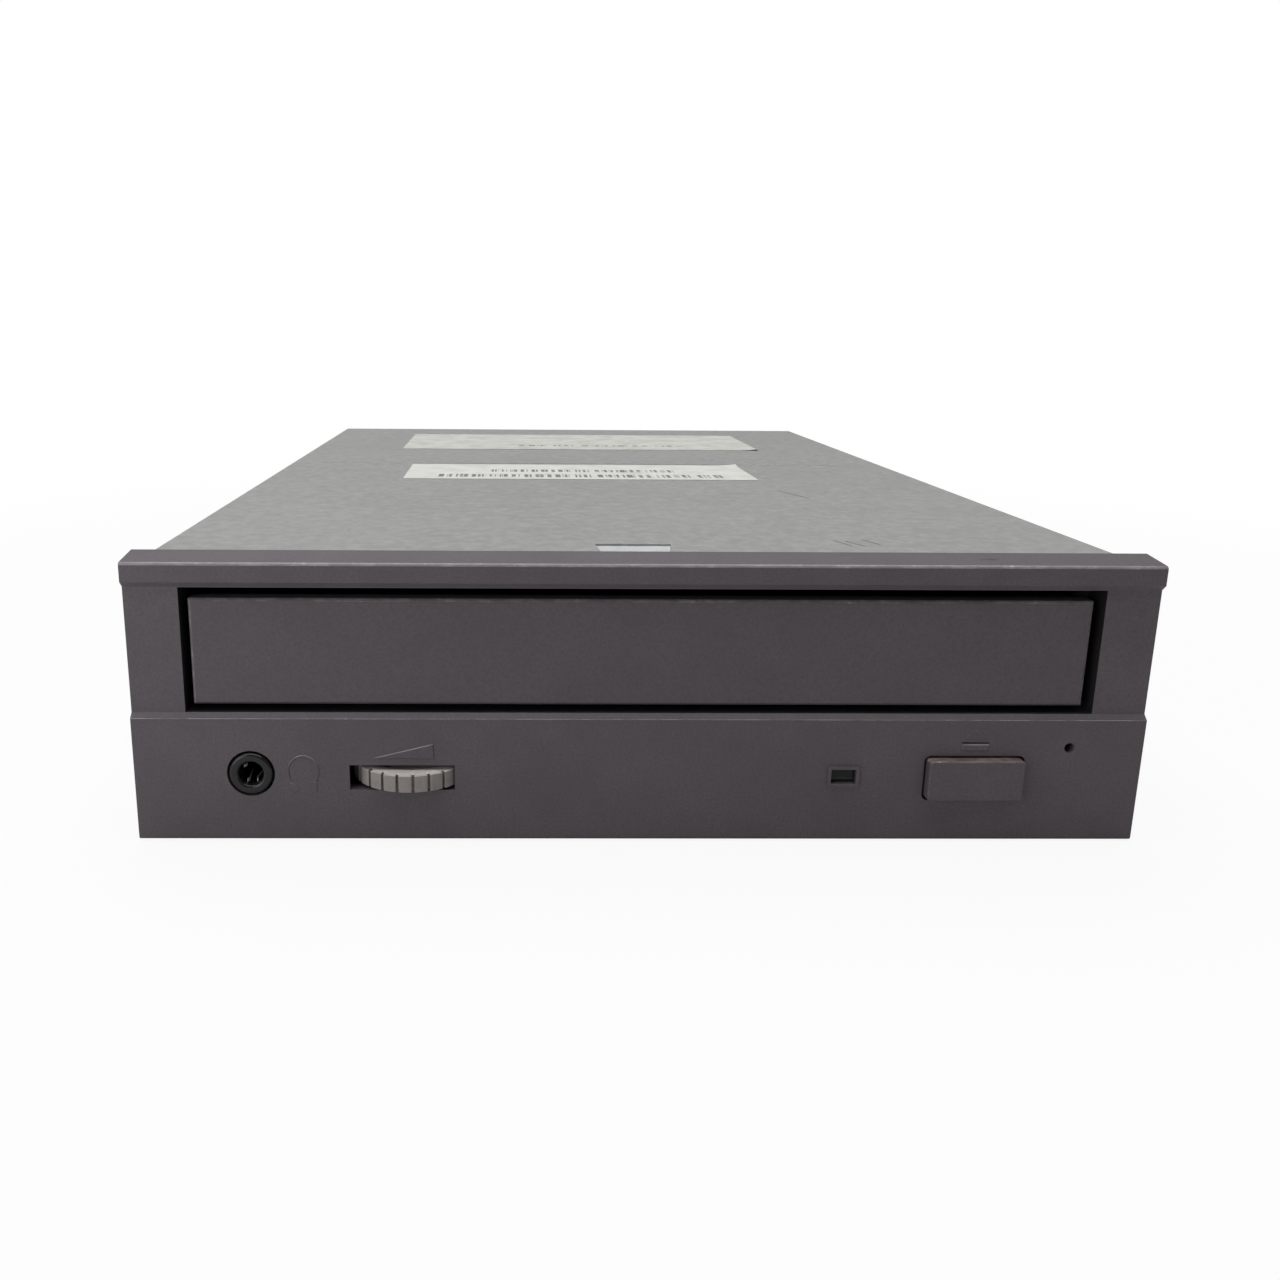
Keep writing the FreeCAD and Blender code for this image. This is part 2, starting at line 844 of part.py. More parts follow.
dimple_z = (cover_under - s.dimple_depth, cover_under + s.cover_sheet / 2)
cover.pad("XY", dimple_z, dimple(case_front + s.lap_gap))
cover.pocket("XY", (s.case_height - s.dimple_depth, s.case_height + s.cover_sheet), dimple(case_front))
cover.pocket(
    "XY", (s.case_height - s.bead_depth, s.case_height + s.cover_sheet),
    rectangle(
        (-s.bead_left, s.bead_right),
        (front + s.bead_place - s.bead_width / 2, front + s.bead_place + s.bead_width / 2),
    ),
)
cover.pocket(
    "YZ", (-half - s.pan_sheet, half + s.pan_sheet),
    *[circle(y, cover_screw_z, s.sink_throat) for y in cover_screw_places],
)
sink_spans = (
    (-half - s.pan_sheet, -half + s.sink_depth),
    (half - s.sink_depth, half + s.pan_sheet),
)
for outer, inner in sink_spans:
    cover.pocket(
        "YZ", (outer, inner),
        *[circle(y, cover_screw_z, s.sink_radius + s.lap_gap) for y in cover_screw_places],
    )


# Front bezel: a moulded front, hollow behind, with a recessed middle band and a sloping top lip.
bezel = Piece("front_bezel")
bezel_half = half + s.bezel_overhang
bezel_back = front + s.bezel_depth
band = front + s.band_recess
lip_back = s.opening_high + s.lip_gap
lip_front = lip_back + s.lip_slope
bezel_top = lip_front + s.bezel_lip
bezel.pad(
    "YZ", (-bezel_half, bezel_half),
    polygon(
        (front, 0), (bezel_back, 0), (bezel_back, bezel_top + s.bezel_slope), (front, bezel_top),
        (front, lip_front), (band, lip_back), (band, s.ledge_back), (front, s.ledge_front),
    ),
)
bezel.dress("Fillet", s.bezel_edge, straight("x", y=front, z=(0, bezel_top)))
# The hollow behind: below the opening, and each side of it.
inner_half = bezel_half - s.bezel_side_wall
rim_half = s.opening_half + s.opening_rim
rim_low = s.opening_low - s.opening_rim
bezel.pocket(
    "XZ", (front + s.bezel_wall, bezel_back + s.bezel_wall),
    rectangle((-inner_half, inner_half), (s.bezel_side_wall, rim_low)),
)
for left, right in ((-inner_half, -rim_half), (rim_half, inner_half)):
    bezel.pocket(
        "XZ", (band + s.bezel_wall, bezel_back + s.bezel_wall),
        rectangle((left, right), (rim_low + s.bezel_side_wall, s.opening_high)),
    )
bezel.pocket(
    "XZ", (front - s.bezel_wall, bezel_back + s.bezel_wall),
    rectangle((-s.opening_half, s.opening_half), (s.opening_low, s.opening_high)),
)
bezel.pocket(
    "XZ", (front - s.bezel_wall, bezel_back),
    circle(s.jack_x, s.jack_z, s.jack_hole),
    circle(s.pin_x, s.pin_z, s.pin_radius),
    rectangle((s.slot_left, s.slot_right), (s.slot_low, s.slot_high)),
    rectangle((s.eject_left, s.eject_right), (s.eject_low, s.eject_high)),
)
bezel.dress(
    "Fillet", s.eject_corner,
    straight("y", x=(s.eject_left, s.eject_right), z=(s.eject_low, s.eject_high)),
)
bezel.pad(
    "XZ", (front - s.led_frame_proud, front + s.bezel_wall / 2),
    rectangle(
        (s.led_left - s.led_frame, s.led_right + s.led_frame),
        (s.led_low - s.led_frame, s.led_high + s.led_frame),
    ),
)
bezel.pocket(
    "XZ", (front - s.bezel_wall, bezel_back),
    rectangle((s.led_left, s.led_right), (s.led_low, s.led_high)),
)
# The wall is relieved behind the wheel's slot.
relief_x = (s.slot_left - s.slot_relief_left, s.slot_right + s.slot_relief_right)
bezel.pocket("XZ", (front + s.slot_relief, bezel_back), rectangle(relief_x, (s.slot_low, s.slot_high)))
# A moulded latch arm on each side runs back into the case, inside the pan wall.
clip_span = (front + s.bezel_wall / 2, bezel_back + s.clip_reach)
clip_outer = pan_inner - s.clip_gap
for left, right in ((-clip_outer, -clip_outer + s.clip_width), (clip_outer - s.clip_width, clip_outer)):
    bezel.pad("XZ", clip_span, rectangle((left, right), (s.clip_low, s.clip_high)))


# Tray front: the panel that closes the opening, bevelled, with a shallow hollow at its back.
panel_front = front + s.panel_front
panel_back = panel_front + s.panel_thick
panel_rib = s.panel_thick
panel = Piece("tray_front")
panel.pad(
    "XZ", (panel_front, panel_back),
    rectangle((s.panel_left, s.panel_right), (s.panel_low, s.panel_high)),
)
panel.dress("Chamfer", s.panel_bevel, round_the_face(panel_front))
panel.pocket(
    "XZ", (panel_back - s.panel_thick / 3, panel_back + s.panel_thick),
    rectangle(
        (s.panel_left + panel_rib, s.panel_right - panel_rib),
        (s.panel_low + panel_rib, s.panel_high - panel_rib),
    ),
)


# Disc tray: a moulded plate with both disc recesses, a slot open to the back, side rails and the rack.
tray = Piece("disc_tray")
tray_front = panel_back + s.lap_gap
tray_back = front + s.tray_back
tray.pad("XY", (s.tray_bottom, s.tray_top), rectangle((-s.tray_half, s.tray_half), (tray_front, tray_back)))
tray.pad(
    "XZ", (tray_front, tray_front + s.tray_wall),
    rectangle((-s.tray_half, s.tray_half), (s.tray_wall_low, s.tray_wall_high)),
)
rail_top = s.tray_bottom + s.rail_width / 2
for left, right in ((-s.tray_half, -s.tray_half + s.rail_width), (s.tray_half - s.rail_width, s.tray_half)):
    tray.pad("XY", (s.rail_low, rail_top), rectangle((left, right), (tray_front, tray_back)))
rack_root = s.rack_line - 1.2 * s.tray_module
tray.pad(
    "XY", (s.rack_low, rail_top),
    rectangle((s.rack_line - s.rack_back, rack_root), (front + s.rack_front_end, tray_back)),
)
above_tray = s.tray_top + s.rail_width
below_tray = s.tray_bottom - s.rail_width
tray.pocket("XY", (s.disc_floor, above_tray), circle(0, disc_y, s.disc_radius))
tray.pocket("XY", (s.small_disc_floor, s.tray_top), circle(0, disc_y, s.small_disc_radius))
tray.pocket(
    "XY", (below_tray, above_tray),
    rectangle((-s.tray_slot_half, s.tray_slot_half), (disc_y, tray_back + s.rail_width)),
)
tray.pocket("XY", (below_tray, above_tray), circle(0, disc_y, s.tray_slot_half))
finger_y = disc_y + s.disc_radius - s.finger_radius / 2
tray.pocket(
    "XY", (s.small_disc_floor, above_tray),
    *[circle(side * s.small_disc_radius, finger_y, s.finger_radius) for side in (-1, 1)],
)
# The rack's teeth, one drawn and the rest repeated along its length.
tray_pitch = math.pi * s.tray_module
gear_y = front + s.gear_depth
tooth_y = gear_y + 0.5 * tray_pitch - 3 * tray_pitch
tooth_half = 0.21 * tray_pitch
tooth_foot = tooth_half + 0.437 * s.tray_module
tooth_head = tooth_half - 0.328 * s.tray_module
tooth_tip = s.rack_line + 0.9 * s.tray_module
tooth_base = rack_root - s.tray_module / 2
tooth = tray.pad(
    "XY", (s.rack_low, rail_top),
    polygon(
        (tooth_base, tooth_y - tooth_foot), (rack_root, tooth_y - tooth_foot),
        (tooth_tip, tooth_y - tooth_head), (tooth_tip, tooth_y + tooth_head),
        (rack_root, tooth_y + tooth_foot), (tooth_base, tooth_y + tooth_foot),
    ),
)
tooth_count = int((tray_back.value - tooth_y.value) / tray_pitch.value)
teeth = tray.body.newObject("PartDesign::LinearPattern", "disc_tray_teeth")
teeth.Originals = [tooth]
teeth.Direction = (tooth.Profile[0], ["V_Axis"])
bind(teeth, "Length", (tooth_count - 1) * tray_pitch)
teeth.Occurrences = tooth_count
tray.settle(teeth)


# Gear outlines: straight-flanked teeth with running clearance, turned to a phase in degrees.
def gear_points(x, y, teeth, module, phase):
    radius = module * teeth / 2
    points = []
    for tooth_number in range(teeth):
        middle = math.radians(phase) + 2 * math.pi * tooth_number / teeth
        for reach, half_width in ((-1.2, -0.8), (0.9, -0.33), (0.9, 0.33), (-1.2, 0.8)):
            distance = radius + reach * module
            angle = middle + half_width * module / distance
            points.append((x + distance * math.cos(angle), y + distance * math.sin(angle)))
    return points


def gear_solid(x, y, teeth, module, phase, low, high):
    return prism(gear_points(x, y, teeth, module, phase), low, high)


def disc_solid(x, y, low, high, radius):
    return Part.makeCylinder(radius, high - low, Vector(x, y, low))


# Loading frame: one moulding with the tray's ledges, the gear platform, the cam guides and the pivot ears.
ledge_top = s.rail_low - s.seat_gap
ledge_low = ledge_top - s.ledge_thick
cross_back = front + s.cross_front + s.cross_thick
frame_span = (front + s.frame_front, front + s.frame_back)
gear_x = s.rack_line + s.tray_module * s.tray_teeth / 2
belt_gear_x = gear_x + s.train_module * (s.train_big_teeth + s.train_small_teeth) / 2
pivot_y = front + s.pivot_depth
ear_inner = s.lift_half + s.seat_gap
frame = Piece("loading_frame")
frame.pad("XY", (s.pan_sheet, s.frame_top), rectangle((-s.frame_outer, -frame_inner), frame_span))
frame.pad(
    "XZ", (front + s.cross_front, cross_back),
    rectangle((-s.frame_outer, s.frame_outer), (s.cross_low, ledge_low + s.ledge_thick / 2)),
)
frame.pad("XY", (s.pan_sheet, s.frame_top), rectangle((frame_inner, s.frame_outer), frame_span))
frame.pad(
    "XZ", (frame_span[1] - 1.5 * s.cross_thick, frame_span[1]),
    rectangle(
        (-s.frame_outer, s.frame_outer),
        (s.cross_low + s.cross_thick, ledge_low + s.ledge_thick / 3),
    ),
)
for left, right in ((-s.frame_outer, -s.ledge_inner), (s.ledge_inner, s.frame_outer)):
    frame.pad("XY", (ledge_low, ledge_top), rectangle((left, right), frame_span))
nib_low = s.tray_top + s.seat_gap
nib_fronts = (
    frame_span[0] + s.cross_thick,
    front + s.bridge_back + s.nib_length,
    front + s.foot_back - s.nib_length,
)
nib_inner = frame_inner - s.nib_reach
for nib_front in nib_fronts:
    for left, right in ((-s.frame_outer, -nib_inner), (nib_inner, s.frame_outer)):
        frame.pad(
            "XY", (nib_low, s.nib_high),
            rectangle((left, right), (nib_front, nib_front + s.nib_length)),
        )
frame.pad(
    "XY", (s.pan_sheet, ledge_low + s.ledge_thick / 2),
    *[circle(x, y, s.foot_radius) for x, y in feet],
)
motor_x = s.motor_x
platform_top = s.deck_low + s.deck_thick
frame.pad(
    "XY", (s.deck_low, platform_top),
    rectangle(
        (gear_x - s.loader_radius, motor_x + s.loader_radius + s.deck_thick),
        (frame_span[0] + s.cross_thick / 2, cross_back),
    ),
)
for x, top in ((gear_x, s.pinion_high), (belt_gear_x, s.train_high)):
    frame.pad("XY", (s.deck_low, top), circle(x, gear_y, s.post_radius))
frame.pocket(
    "XY", (s.deck_low - s.deck_thick, platform_top + s.deck_thick),
    circle(motor_x, gear_y, 3 * s.spindle_shaft),
)
ear_span = (pivot_y - 3 * s.pivot_radius, pivot_y + 3 * s.pivot_radius)
ear_high = s.pivot_height + 1.8 * s.pivot_radius
ear_outer = s.ledge_inner + s.cross_thick / 2
for left, right in ((-ear_outer, -ear_inner), (ear_inner, ear_outer)):
    frame.pad(
        "YZ", (left, right),
        rectangle(ear_span, (s.pivot_height - 2.5 * s.pivot_radius, ear_high)),
    )
frame.pocket(
    "YZ", (-ear_inner - 2 * s.pivot_radius, ear_inner + 2 * s.pivot_radius),
    circle(pivot_y, s.pivot_height, s.pivot_radius + s.shaft_clearance),
)
frame.pocket(
    "XY", (s.pan_sheet - s.cross_thick, s.deck_low),
    *[circle(x, y, s.hole_radius) for x, y in feet],
)
guide_places = ((-s.guide_outer, -s.guide_inner), (s.guide_inner, s.guide_outer))
guide_back = front + s.cam_front + s.cam_thick + s.seat_gap
guide_span = (cross_back - s.cross_thick / 2, guide_back + s.seat_gap)
for span in guide_places:
    frame.pad(
        "XZ", (front + s.cross_front, cross_back),
        rectangle(span, (ledge_low, s.cam_high + s.seat_gap + s.ledge_thick / 2)),
    )
    for low in (s.cam_high + s.seat_gap, s.cam_low - s.seat_gap - s.ledge_thick / 2):
        frame.pad("XZ", guide_span, rectangle(span, (low, low + s.ledge_thick / 2)))


# Tray gear: the pinion under the rack, with the larger gear of the loading train below it.
def running_gear(name, shapes, x, y, low, high, bore):
    shape = shapes[0].multiFuse(shapes[1:])
    shape = shape.cut(disc_solid(x, y, low - 1, high + 1, bore))
    return keep(solid(name, shape.removeSplitter()), name)


post_bore = (s.post_radius + s.shaft_clearance).value
gx = gear_x.value
gy = gear_y.value
hub_low = (platform_top + s.seat_gap).value
pinion_low = s.pinion_low.value
pinion_high = s.pinion_high.value - s.shaft_clearance.value
train_low = s.train_low.value
train_high = s.train_high.value
train_module = s.train_module.value
big_teeth = int(s.train_big_teeth.value)
small_teeth = int(s.train_small_teeth.value)
tray_teeth = int(s.tray_teeth.value)
running_gear(
    "tray_gear",
    [
        gear_solid(gx, gy, tray_teeth, s.tray_module.value, 180, pinion_low, pinion_high),
        disc_solid(gx, gy, train_high, pinion_low, 4 * s.post_radius.value),
        gear_solid(gx, gy, big_teeth, train_module, 0, train_low, train_high),
        disc_solid(gx, gy, hub_low, train_low, 2 * s.post_radius.value),
    ],
    gx, gy, hub_low, pinion_high, post_bore,
)


# Belt gear and motor pulley: grooved pulleys, the belt between them.
def pulley_solids(x, y, radius, low, high):
    flange = (high - low) / 4
    return [
        disc_solid(x, y, low, low + flange, radius + 0.75 * s.belt_width.value),
        disc_solid(x, y, low + flange, high - flange, radius),
        disc_solid(x, y, high - flange, high, radius + 0.75 * s.belt_width.value),
    ]


bx = belt_gear_x.value
pulley_low = s.pulley_low.value
pulley_high = s.pulley_high.value
belt_gear_top = train_high - s.shaft_clearance.value
running_gear(
    "belt_gear",
    [
        gear_solid(bx, gy, small_teeth, train_module, 180 + 180 / small_teeth, train_low, belt_gear_top),
        disc_solid(bx, gy, pulley_high, train_low, 2.4 * s.post_radius.value),
        *pulley_solids(bx, gy, s.pulley_radius.value, pulley_low, pulley_high),
    ],
    bx, gy, pulley_low, train_high, post_bore,
)
mx = s.motor_x.value
motor_shaft_low = (s.deck_low - s.lap_gap - s.motor_shaft_depth).value
spindle_bore = (s.spindle_shaft + s.shaft_clearance).value
pulley_shape = pulley_solids(mx, gy, s.motor_pulley_radius.value, pulley_low, pulley_high)
pulley_shape.append(disc_solid(mx, gy, motor_shaft_low, pulley_high, s.spindle_shaft.value))
keep(solid("motor_pulley", pulley_shape[0].multiFuse(pulley_shape[1:]).removeSplitter()), "motor_pulley")

belt_inner = (s.pulley_radius + s.belt_gap).value
belt_small = (s.motor_pulley_radius + s.belt_gap).value
belt_low = (pulley_low + pulley_high - s.belt_width.value) / 2


def belt_loop(large, small):
    """The closed outline of a band round both pulleys, its two arcs joined by tangents."""
    lean = math.acos((large - small) / (mx - bx))
    tops = [
        Vector(bx + large * math.cos(lean), gy + large * math.sin(lean), belt_low),
        Vector(mx + small * math.cos(lean), gy + small * math.sin(lean), belt_low),
    ]
    ends = [Vector(point.x, 2 * gy - point.y, belt_low) for point in tops]
    edges = [
        Part.LineSegment(tops[0], tops[1]).toShape(),
        Part.Arc(tops[1], Vector(mx + small, gy, belt_low), ends[1]).toShape(),
        Part.LineSegment(ends[1], ends[0]).toShape(),
        Part.Arc(ends[0], Vector(bx - large, gy, belt_low), tops[0]).toShape(),
    ]
    return Part.Face(Part.Wire(edges))


belt_width = s.belt_width.value
belt_outside = belt_loop(belt_inner + belt_width, belt_small + belt_width)
belt_face = belt_outside.cut(belt_loop(belt_inner, belt_small))
keep(solid("drive_belt", belt_face.extrude(Vector(0, 0, belt_width))), "drive_belt")

# Loading motor: a flat can under the platform.
loader_boss = (s.deck_low - s.lap_gap, s.deck_low + s.deck_thick / 2)
loader = cut(
    "loading_motor",
    fuse("loader_can", [
        rod("loader_body", "z", (motor_x, gear_y), (s.loader_low, s.deck_low), s.loader_radius),
        rod("loader_boss", "z", (motor_x, gear_y), loader_boss, 2.6 * s.spindle_shaft),
    ]),
    [rod(
        "loader_bore", "z", (motor_x, gear_y),
        (s.deck_low - s.motor_shaft_depth - 1, s.deck_low + s.deck_thick),
        s.spindle_shaft + s.shaft_clearance,
    )],
)
keep(loader, "loading_motor")


# Cam slider: a plate across the front of the lifting frame, its two sloping slots carry the lift pins.
drop = s.pivot_depth - s.cam_front - s.cam_thick / 2
lift_drop = Size(
    drop.value * math.sin(math.radians(s.lift_angle.value)),
    f"({drop.text} * sin({s.lift_angle.text} * 1 deg))",
)
cam = Piece("cam_slider")
cam_right = s.cam_pin_x + s.cam_travel + 3.4 * s.cam_pin_radius + s.cam_thick
cam.pad(
    "XZ", (front + s.cam_front, front + s.cam_front + s.cam_thick),
    rectangle((-s.cam_half, cam_right), (s.cam_low, s.cam_high)),
)
cam_gap = s.cam_pin_radius + s.cam_clearance
flat = 1.5 * s.cam_pin_radius
# A sloping slot is this much taller, so that it keeps its clearance square to the slope.
slope = math.hypot(1, lift_drop.value / s.cam_travel.value)
slope_gap = Size(slope, f"sqrt(1 + pow({lift_drop.text} / {s.cam_travel.text}; 2))") * cam_gap
pin_high = s.cam_pin_z
pin_rest = pin_high - lift_drop
for pin_x in (-s.cam_pin_x, s.cam_pin_x):
    cam.pocket(
        "XZ", (front + s.cam_front - s.cam_thick, front + s.cam_front + 2 * s.cam_thick),
        polygon(
            (pin_x - flat - cam_gap, pin_rest - slope_gap), (pin_x + cam_gap / 2, pin_rest - slope_gap),
            (pin_x + s.cam_travel + cam_gap / 2, pin_high - slope_gap),
            (pin_x + s.cam_travel + flat + cam_gap, pin_high - slope_gap),
            (pin_x + s.cam_travel + flat + cam_gap, pin_high + slope_gap),
            (pin_x + s.cam_travel - cam_gap / 2, pin_high + slope_gap),
            (pin_x - cam_gap / 2, pin_rest + slope_gap), (pin_x - flat - cam_gap, pin_rest + slope_gap),
        ),
    )


# Everything on the traverse is drawn in its raised level place, then let down about the pivot line.
pivot_point = Vector(0, pivot_y.value, s.pivot_height.value)
let_down = Placement(Vector(0, 0, 0), Rotation(Vector(1, 0, 0), s.lift_angle.value), pivot_point)


def lower(thing):
    thing.Placement = let_down.multiply(thing.Placement)
    return thing


# Lift frame: the plastic frame that tips about its two rear pins, raised by its two front pins.
lift = Piece("lift_frame")
lift_front = front + s.lift_front
lift.pad(
    "XY", (s.lift_low, s.lift_high),
    rectangle((-s.lift_half, s.lift_half), (lift_front, front + s.lift_back)),
    rectangle(
        (-s.lift_window, s.lift_window),
        (front + s.lift_window_front, front + s.lift_window_back),
    ),
)
ears = [(side * s.ear_x, front + depth) for depth in (s.ear_front, s.ear_back) for side in (-1, 1)]
lift.pad("XY", (s.lift_low, s.damper_low), *[circle(x, y, s.ear_radius + s.seat_gap) for x, y in ears])
lift.pocket(
    "XY", (s.damper_low, s.lift_high + s.lift_low / 4),
    *[circle(x, y, s.ear_radius + 2 * s.seat_gap) for x, y in ears],
)
lift.pocket(
    "XY", (s.lift_low - s.damper_neck, s.damper_low + s.seat_gap),
    *[circle(x, y, s.hole_radius) for x, y in ears],
)
lift.pad(
    "XZ", (front + s.cam_front + s.seat_gap, lift_front + s.cam_thick),
    *[circle(x, s.cam_pin_z, s.cam_pin_radius) for x in (-s.cam_pin_x, s.cam_pin_x)],
)
pin_reach = s.lift_half + 2 * s.pivot_radius
for left, right in ((-pin_reach, -s.lift_half + s.pivot_radius), (s.lift_half - s.pivot_radius, pin_reach)):
    lift.pad("YZ", (left, right), circle(pivot_y, s.pivot_height, s.pivot_radius))
lower(lift.body)

# Dampers: four rubber spools in the ears of the steel deck, each with its shouldered screw.
plate_high = s.plate_low + s.plate_thick
neck_low = s.plate_low - s.lap_gap
neck_high = plate_high + s.lap_gap
damper_head = (s.damper_high, s.damper_high + 0.8 * s.head_height)
dampers = []
damper_screws = []
for i, (x, y) in enumerate(ears):
    spool = fuse(f"spool_{i}", [
        rod(f"spool_low_{i}", "z", (x, y), (s.damper_low, neck_low), s.damper_radius),
        rod(f"spool_neck_{i}", "z", (x, y), (neck_low, neck_high), s.damper_neck - s.lap_gap),
        rod(f"spool_high_{i}", "z", (x, y), (neck_high, s.damper_high), s.damper_radius),
    ])
    bore_span = (s.damper_low - 1, s.damper_high + 1)
    bore = rod(f"spool_bore_{i}", "z", (x, y), bore_span, s.hole_radius + s.lap_gap)
    dampers.append(cut(f"damper_{i}", spool, [bore]))
    damper_screws.append(fuse(f"damper_screw_{i}", [
        rod(f"damper_head_{i}", "z", (x, y), damper_head, s.head_radius),
        rod(f"damper_shank_{i}", "z", (x, y), (s.lift_low + s.seat_gap, s.damper_high), s.screw_radius),
    ]))
lower(keep(group("dampers", dampers), "dampers"))
lower(keep(group("damper_screws", damper_screws), "damper_screws"))

# Mechanism deck: the pressed steel plate that carries the spindle, the rods and the sled drive.
rod_low_tab = (front + s.rod_front - s.plate_thick / 2, front + s.rod_front + s.plate_thick)
rod_back_end = front + s.plate_back - s.plate_thick
rod_high_tab = (rod_back_end - s.plate_thick, front + s.plate_back)
tab_half = 1.4 * s.rod_radius
deck = Piece("mech_deck")
deck.pad(
    "XY", (s.plate_low, plate_high),
    rectangle((-s.plate_half, s.plate_half), (front + s.plate_front, front + s.plate_back)),
)
deck.pad("XY", (s.plate_low, plate_high), *[circle(x, y, s.ear_radius) for x, y in ears])
tab_z = (s.plate_low + s.plate_thick / 2, s.rod_z + tab_half)
for left, right in ((-s.rod_x - tab_half, -s.rod_x + tab_half), (s.rod_x - tab_half, s.rod_x + tab_half)):
    for span in (rod_low_tab, rod_high_tab):
        deck.pad("XZ", span, rectangle((left, right), tab_z))
deck.pocket(
    "XY", (s.plate_low - s.plate_thick, s.plate_low + 2 * s.plate_thick),
    rectangle(
        (-s.sled_slot_half, s.sled_slot_half),
        (front + s.sled_slot_front, front + s.sled_slot_back),
    ),
)
sled_gear_x = s.sled_rack_line + s.sled_module * s.sled_teeth / 2
sled_gear_y = front + s.sled_gear_depth
deck.pocket(
    "XY", (s.plate_low - s.plate_thick, s.plate_low + 2 * s.plate_thick),
    circle(0, disc_y, s.spindle_radius + s.lap_gap),
    circle(sled_gear_x, sled_gear_y, 2.6 * s.spindle_shaft),
    *[circle(x, y, s.damper_neck) for x, y in ears],
)
deck.pocket(
    "XZ", (rod_low_tab[0] - s.plate_thick, front + s.plate_back + s.plate_thick),
    *[circle(x, s.rod_z, s.rod_radius + s.lap_gap / 4) for x in (-s.rod_x, s.rod_x)],
)
lower(deck.body)
rods = [
    rod(f"guide_rod_{i}", "y", (x, s.rod_z), (rod_low_tab[0], rod_high_tab[1]), s.rod_radius)
    for i, x in enumerate((-s.rod_x, s.rod_x))
]
lower(keep(group("guide_rods", rods), "guide_rods"))

# Spindle motor with its flange on the deck, and the small board under the deck.
flange_span = (plate_high, plate_high + 0.8 * s.plate_thick)
spindle = cut(
    "spindle_motor",
    fuse("spindle_can", [
        rod("spindle_body", "z", (0, disc_y), (s.spindle_low, s.spindle_high), s.spindle_radius),
        rod("spindle_flange", "z", (0, disc_y), flange_span, s.spindle_flange),
    ]),
    [rod(
        "spindle_bore", "z", (0, disc_y), (s.lift_low, s.spindle_high + 1),
        s.spindle_shaft + s.shaft_clearance,
    )],
)
lower(keep(spindle, "spindle_motor"))
board_half = 1.6 * s.spindle_radius
motor_board = cut(
    "motor_board",
    block(
        "motor_board_sheet", (-board_half, board_half),
        (front + s.plate_front + s.plate_thick, front + s.sled_slot_front - s.plate_thick),
        (s.plate_low - s.lap_gap - s.plate_thick, s.plate_low - s.lap_gap),
    ),
    [rod(
        "motor_board_hole", "z", (0, disc_y), (s.lift_low, s.plate_low + 1),
        s.spindle_radius + s.seat_gap,
    )],
)
lower(keep(motor_board, "motor_board"))

# Turntable on its shaft, the rubber seat, the centring cone and the clamp magnet.
table_top = s.seat_height - s.pad_thick
table_low = table_top - s.turntable_thick
hub_span = (s.spindle_high + s.seat_gap, table_low + 1)
turntable = fuse("turntable", [
    rod("table_shaft", "z", (0, disc_y), (s.lift_low + s.seat_gap, table_low + 1), s.spindle_shaft),
    rod("table_hub", "z", (0, disc_y), hub_span, s.turntable_radius / 3),
    rod("table_disc", "z", (0, disc_y), (table_low, table_top), s.turntable_radius),
])
lower(keep(turntable, "turntable"))
seat_ring = cut(
    "turntable_pad",
    rod("pad_outer", "z", (0, disc_y), (table_top, s.seat_height), s.turntable_radius),
    [rod("pad_inner", "z", (0, disc_y), (table_top - 1, s.seat_height + 1), 0.7 * s.turntable_radius)],
)
lower(keep(seat_ring, "turntable_pad"))
cone_top = table_top + s.cone_height + s.seat_gap
magnet_low = cone_top - 0.45 * s.cone_height
cone = cut(
    "centring_cone",
    taper("cone_body", "z", (0, disc_y), (table_top, cone_top), (s.cone_base, s.cone_tip)),
    [rod("cone_recess", "z", (0, disc_y), (magnet_low, cone_top + 1), s.magnet_radius + s.lap_gap)],
)
lower(keep(cone, "centring_cone"))
magnet = rod("magnet_disc", "z", (0, disc_y), (magnet_low, cone_top - s.lap_gap), s.magnet_radius)
lower(keep(group("clamp_magnet", [magnet]), "clamp_magnet"))

# Pickup sled: a cast body between the rods, with a long bush on one rod and a fork on the other.
lens_y = disc_y + s.lens_inner
sled_front = lens_y - s.sled_fore
sled_back = lens_y + s.sled_aft
sled = Piece("pickup_sled")
sled.pad("XY", (s.sled_low, s.sled_high), rectangle((-s.sled_half, s.sled_half), (sled_front, sled_back)))
sled.dress(
    "Chamfer", s.bush_half,
    straight("z", x=(-s.sled_half, s.sled_half), y=(sled_front, sled_back)),
)
bush_z = (s.rod_z - s.bush_half, s.rod_z + s.bush_half)
sled.pad(
    "XZ", (sled_front + s.bush_half, sled_back - s.bush_half),
    rectangle((-s.bush_outer, -s.sled_half + s.bush_half), bush_z),
)
sled.pad(
    "XZ", (lens_y - s.bush_half, lens_y + s.bush_half),
    rectangle((s.sled_half - s.bush_half, s.bush_outer), bush_z),
)
running_rod = s.rod_radius + s.shaft_clearance
sled.pocket("XZ", (sled_front - 1, sled_back + 1), circle(-s.rod_x, s.rod_z, running_rod))
sled.pocket(
    "XZ", (sled_front - 1, sled_back + 1),
    rectangle(
        (s.rod_x - running_rod - s.lap_gap, s.bush_outer + 1),
        (s.rod_z - running_rod, s.rod_z + running_rod),
    ),
)
sled.pocket(
    "XY", (s.sled_low - 1, s.sled_low + s.bush_half),
    rectangle((-0.6 * s.sled_half, 0.6 * s.sled_half), (sled_front + s.bush_half, sled_back - s.bush_half)),
)
lower(sled.body)
actuator_top = s.lens_top - s.lens_proud
actuator = cut(
    "lens_actuator",
    block(
        "actuator_block", (-s.actuator_half, s.actuator_half),
        (lens_y - s.actuator_fore, lens_y + s.actuator_aft), (s.sled_high, actuator_top),
    ),
    [rod(
        "actuator_well", "z", (0, lens_y), (s.sled_high - 1, actuator_top + 1),
        s.lens_radius + s.seat_gap,
    )],
)
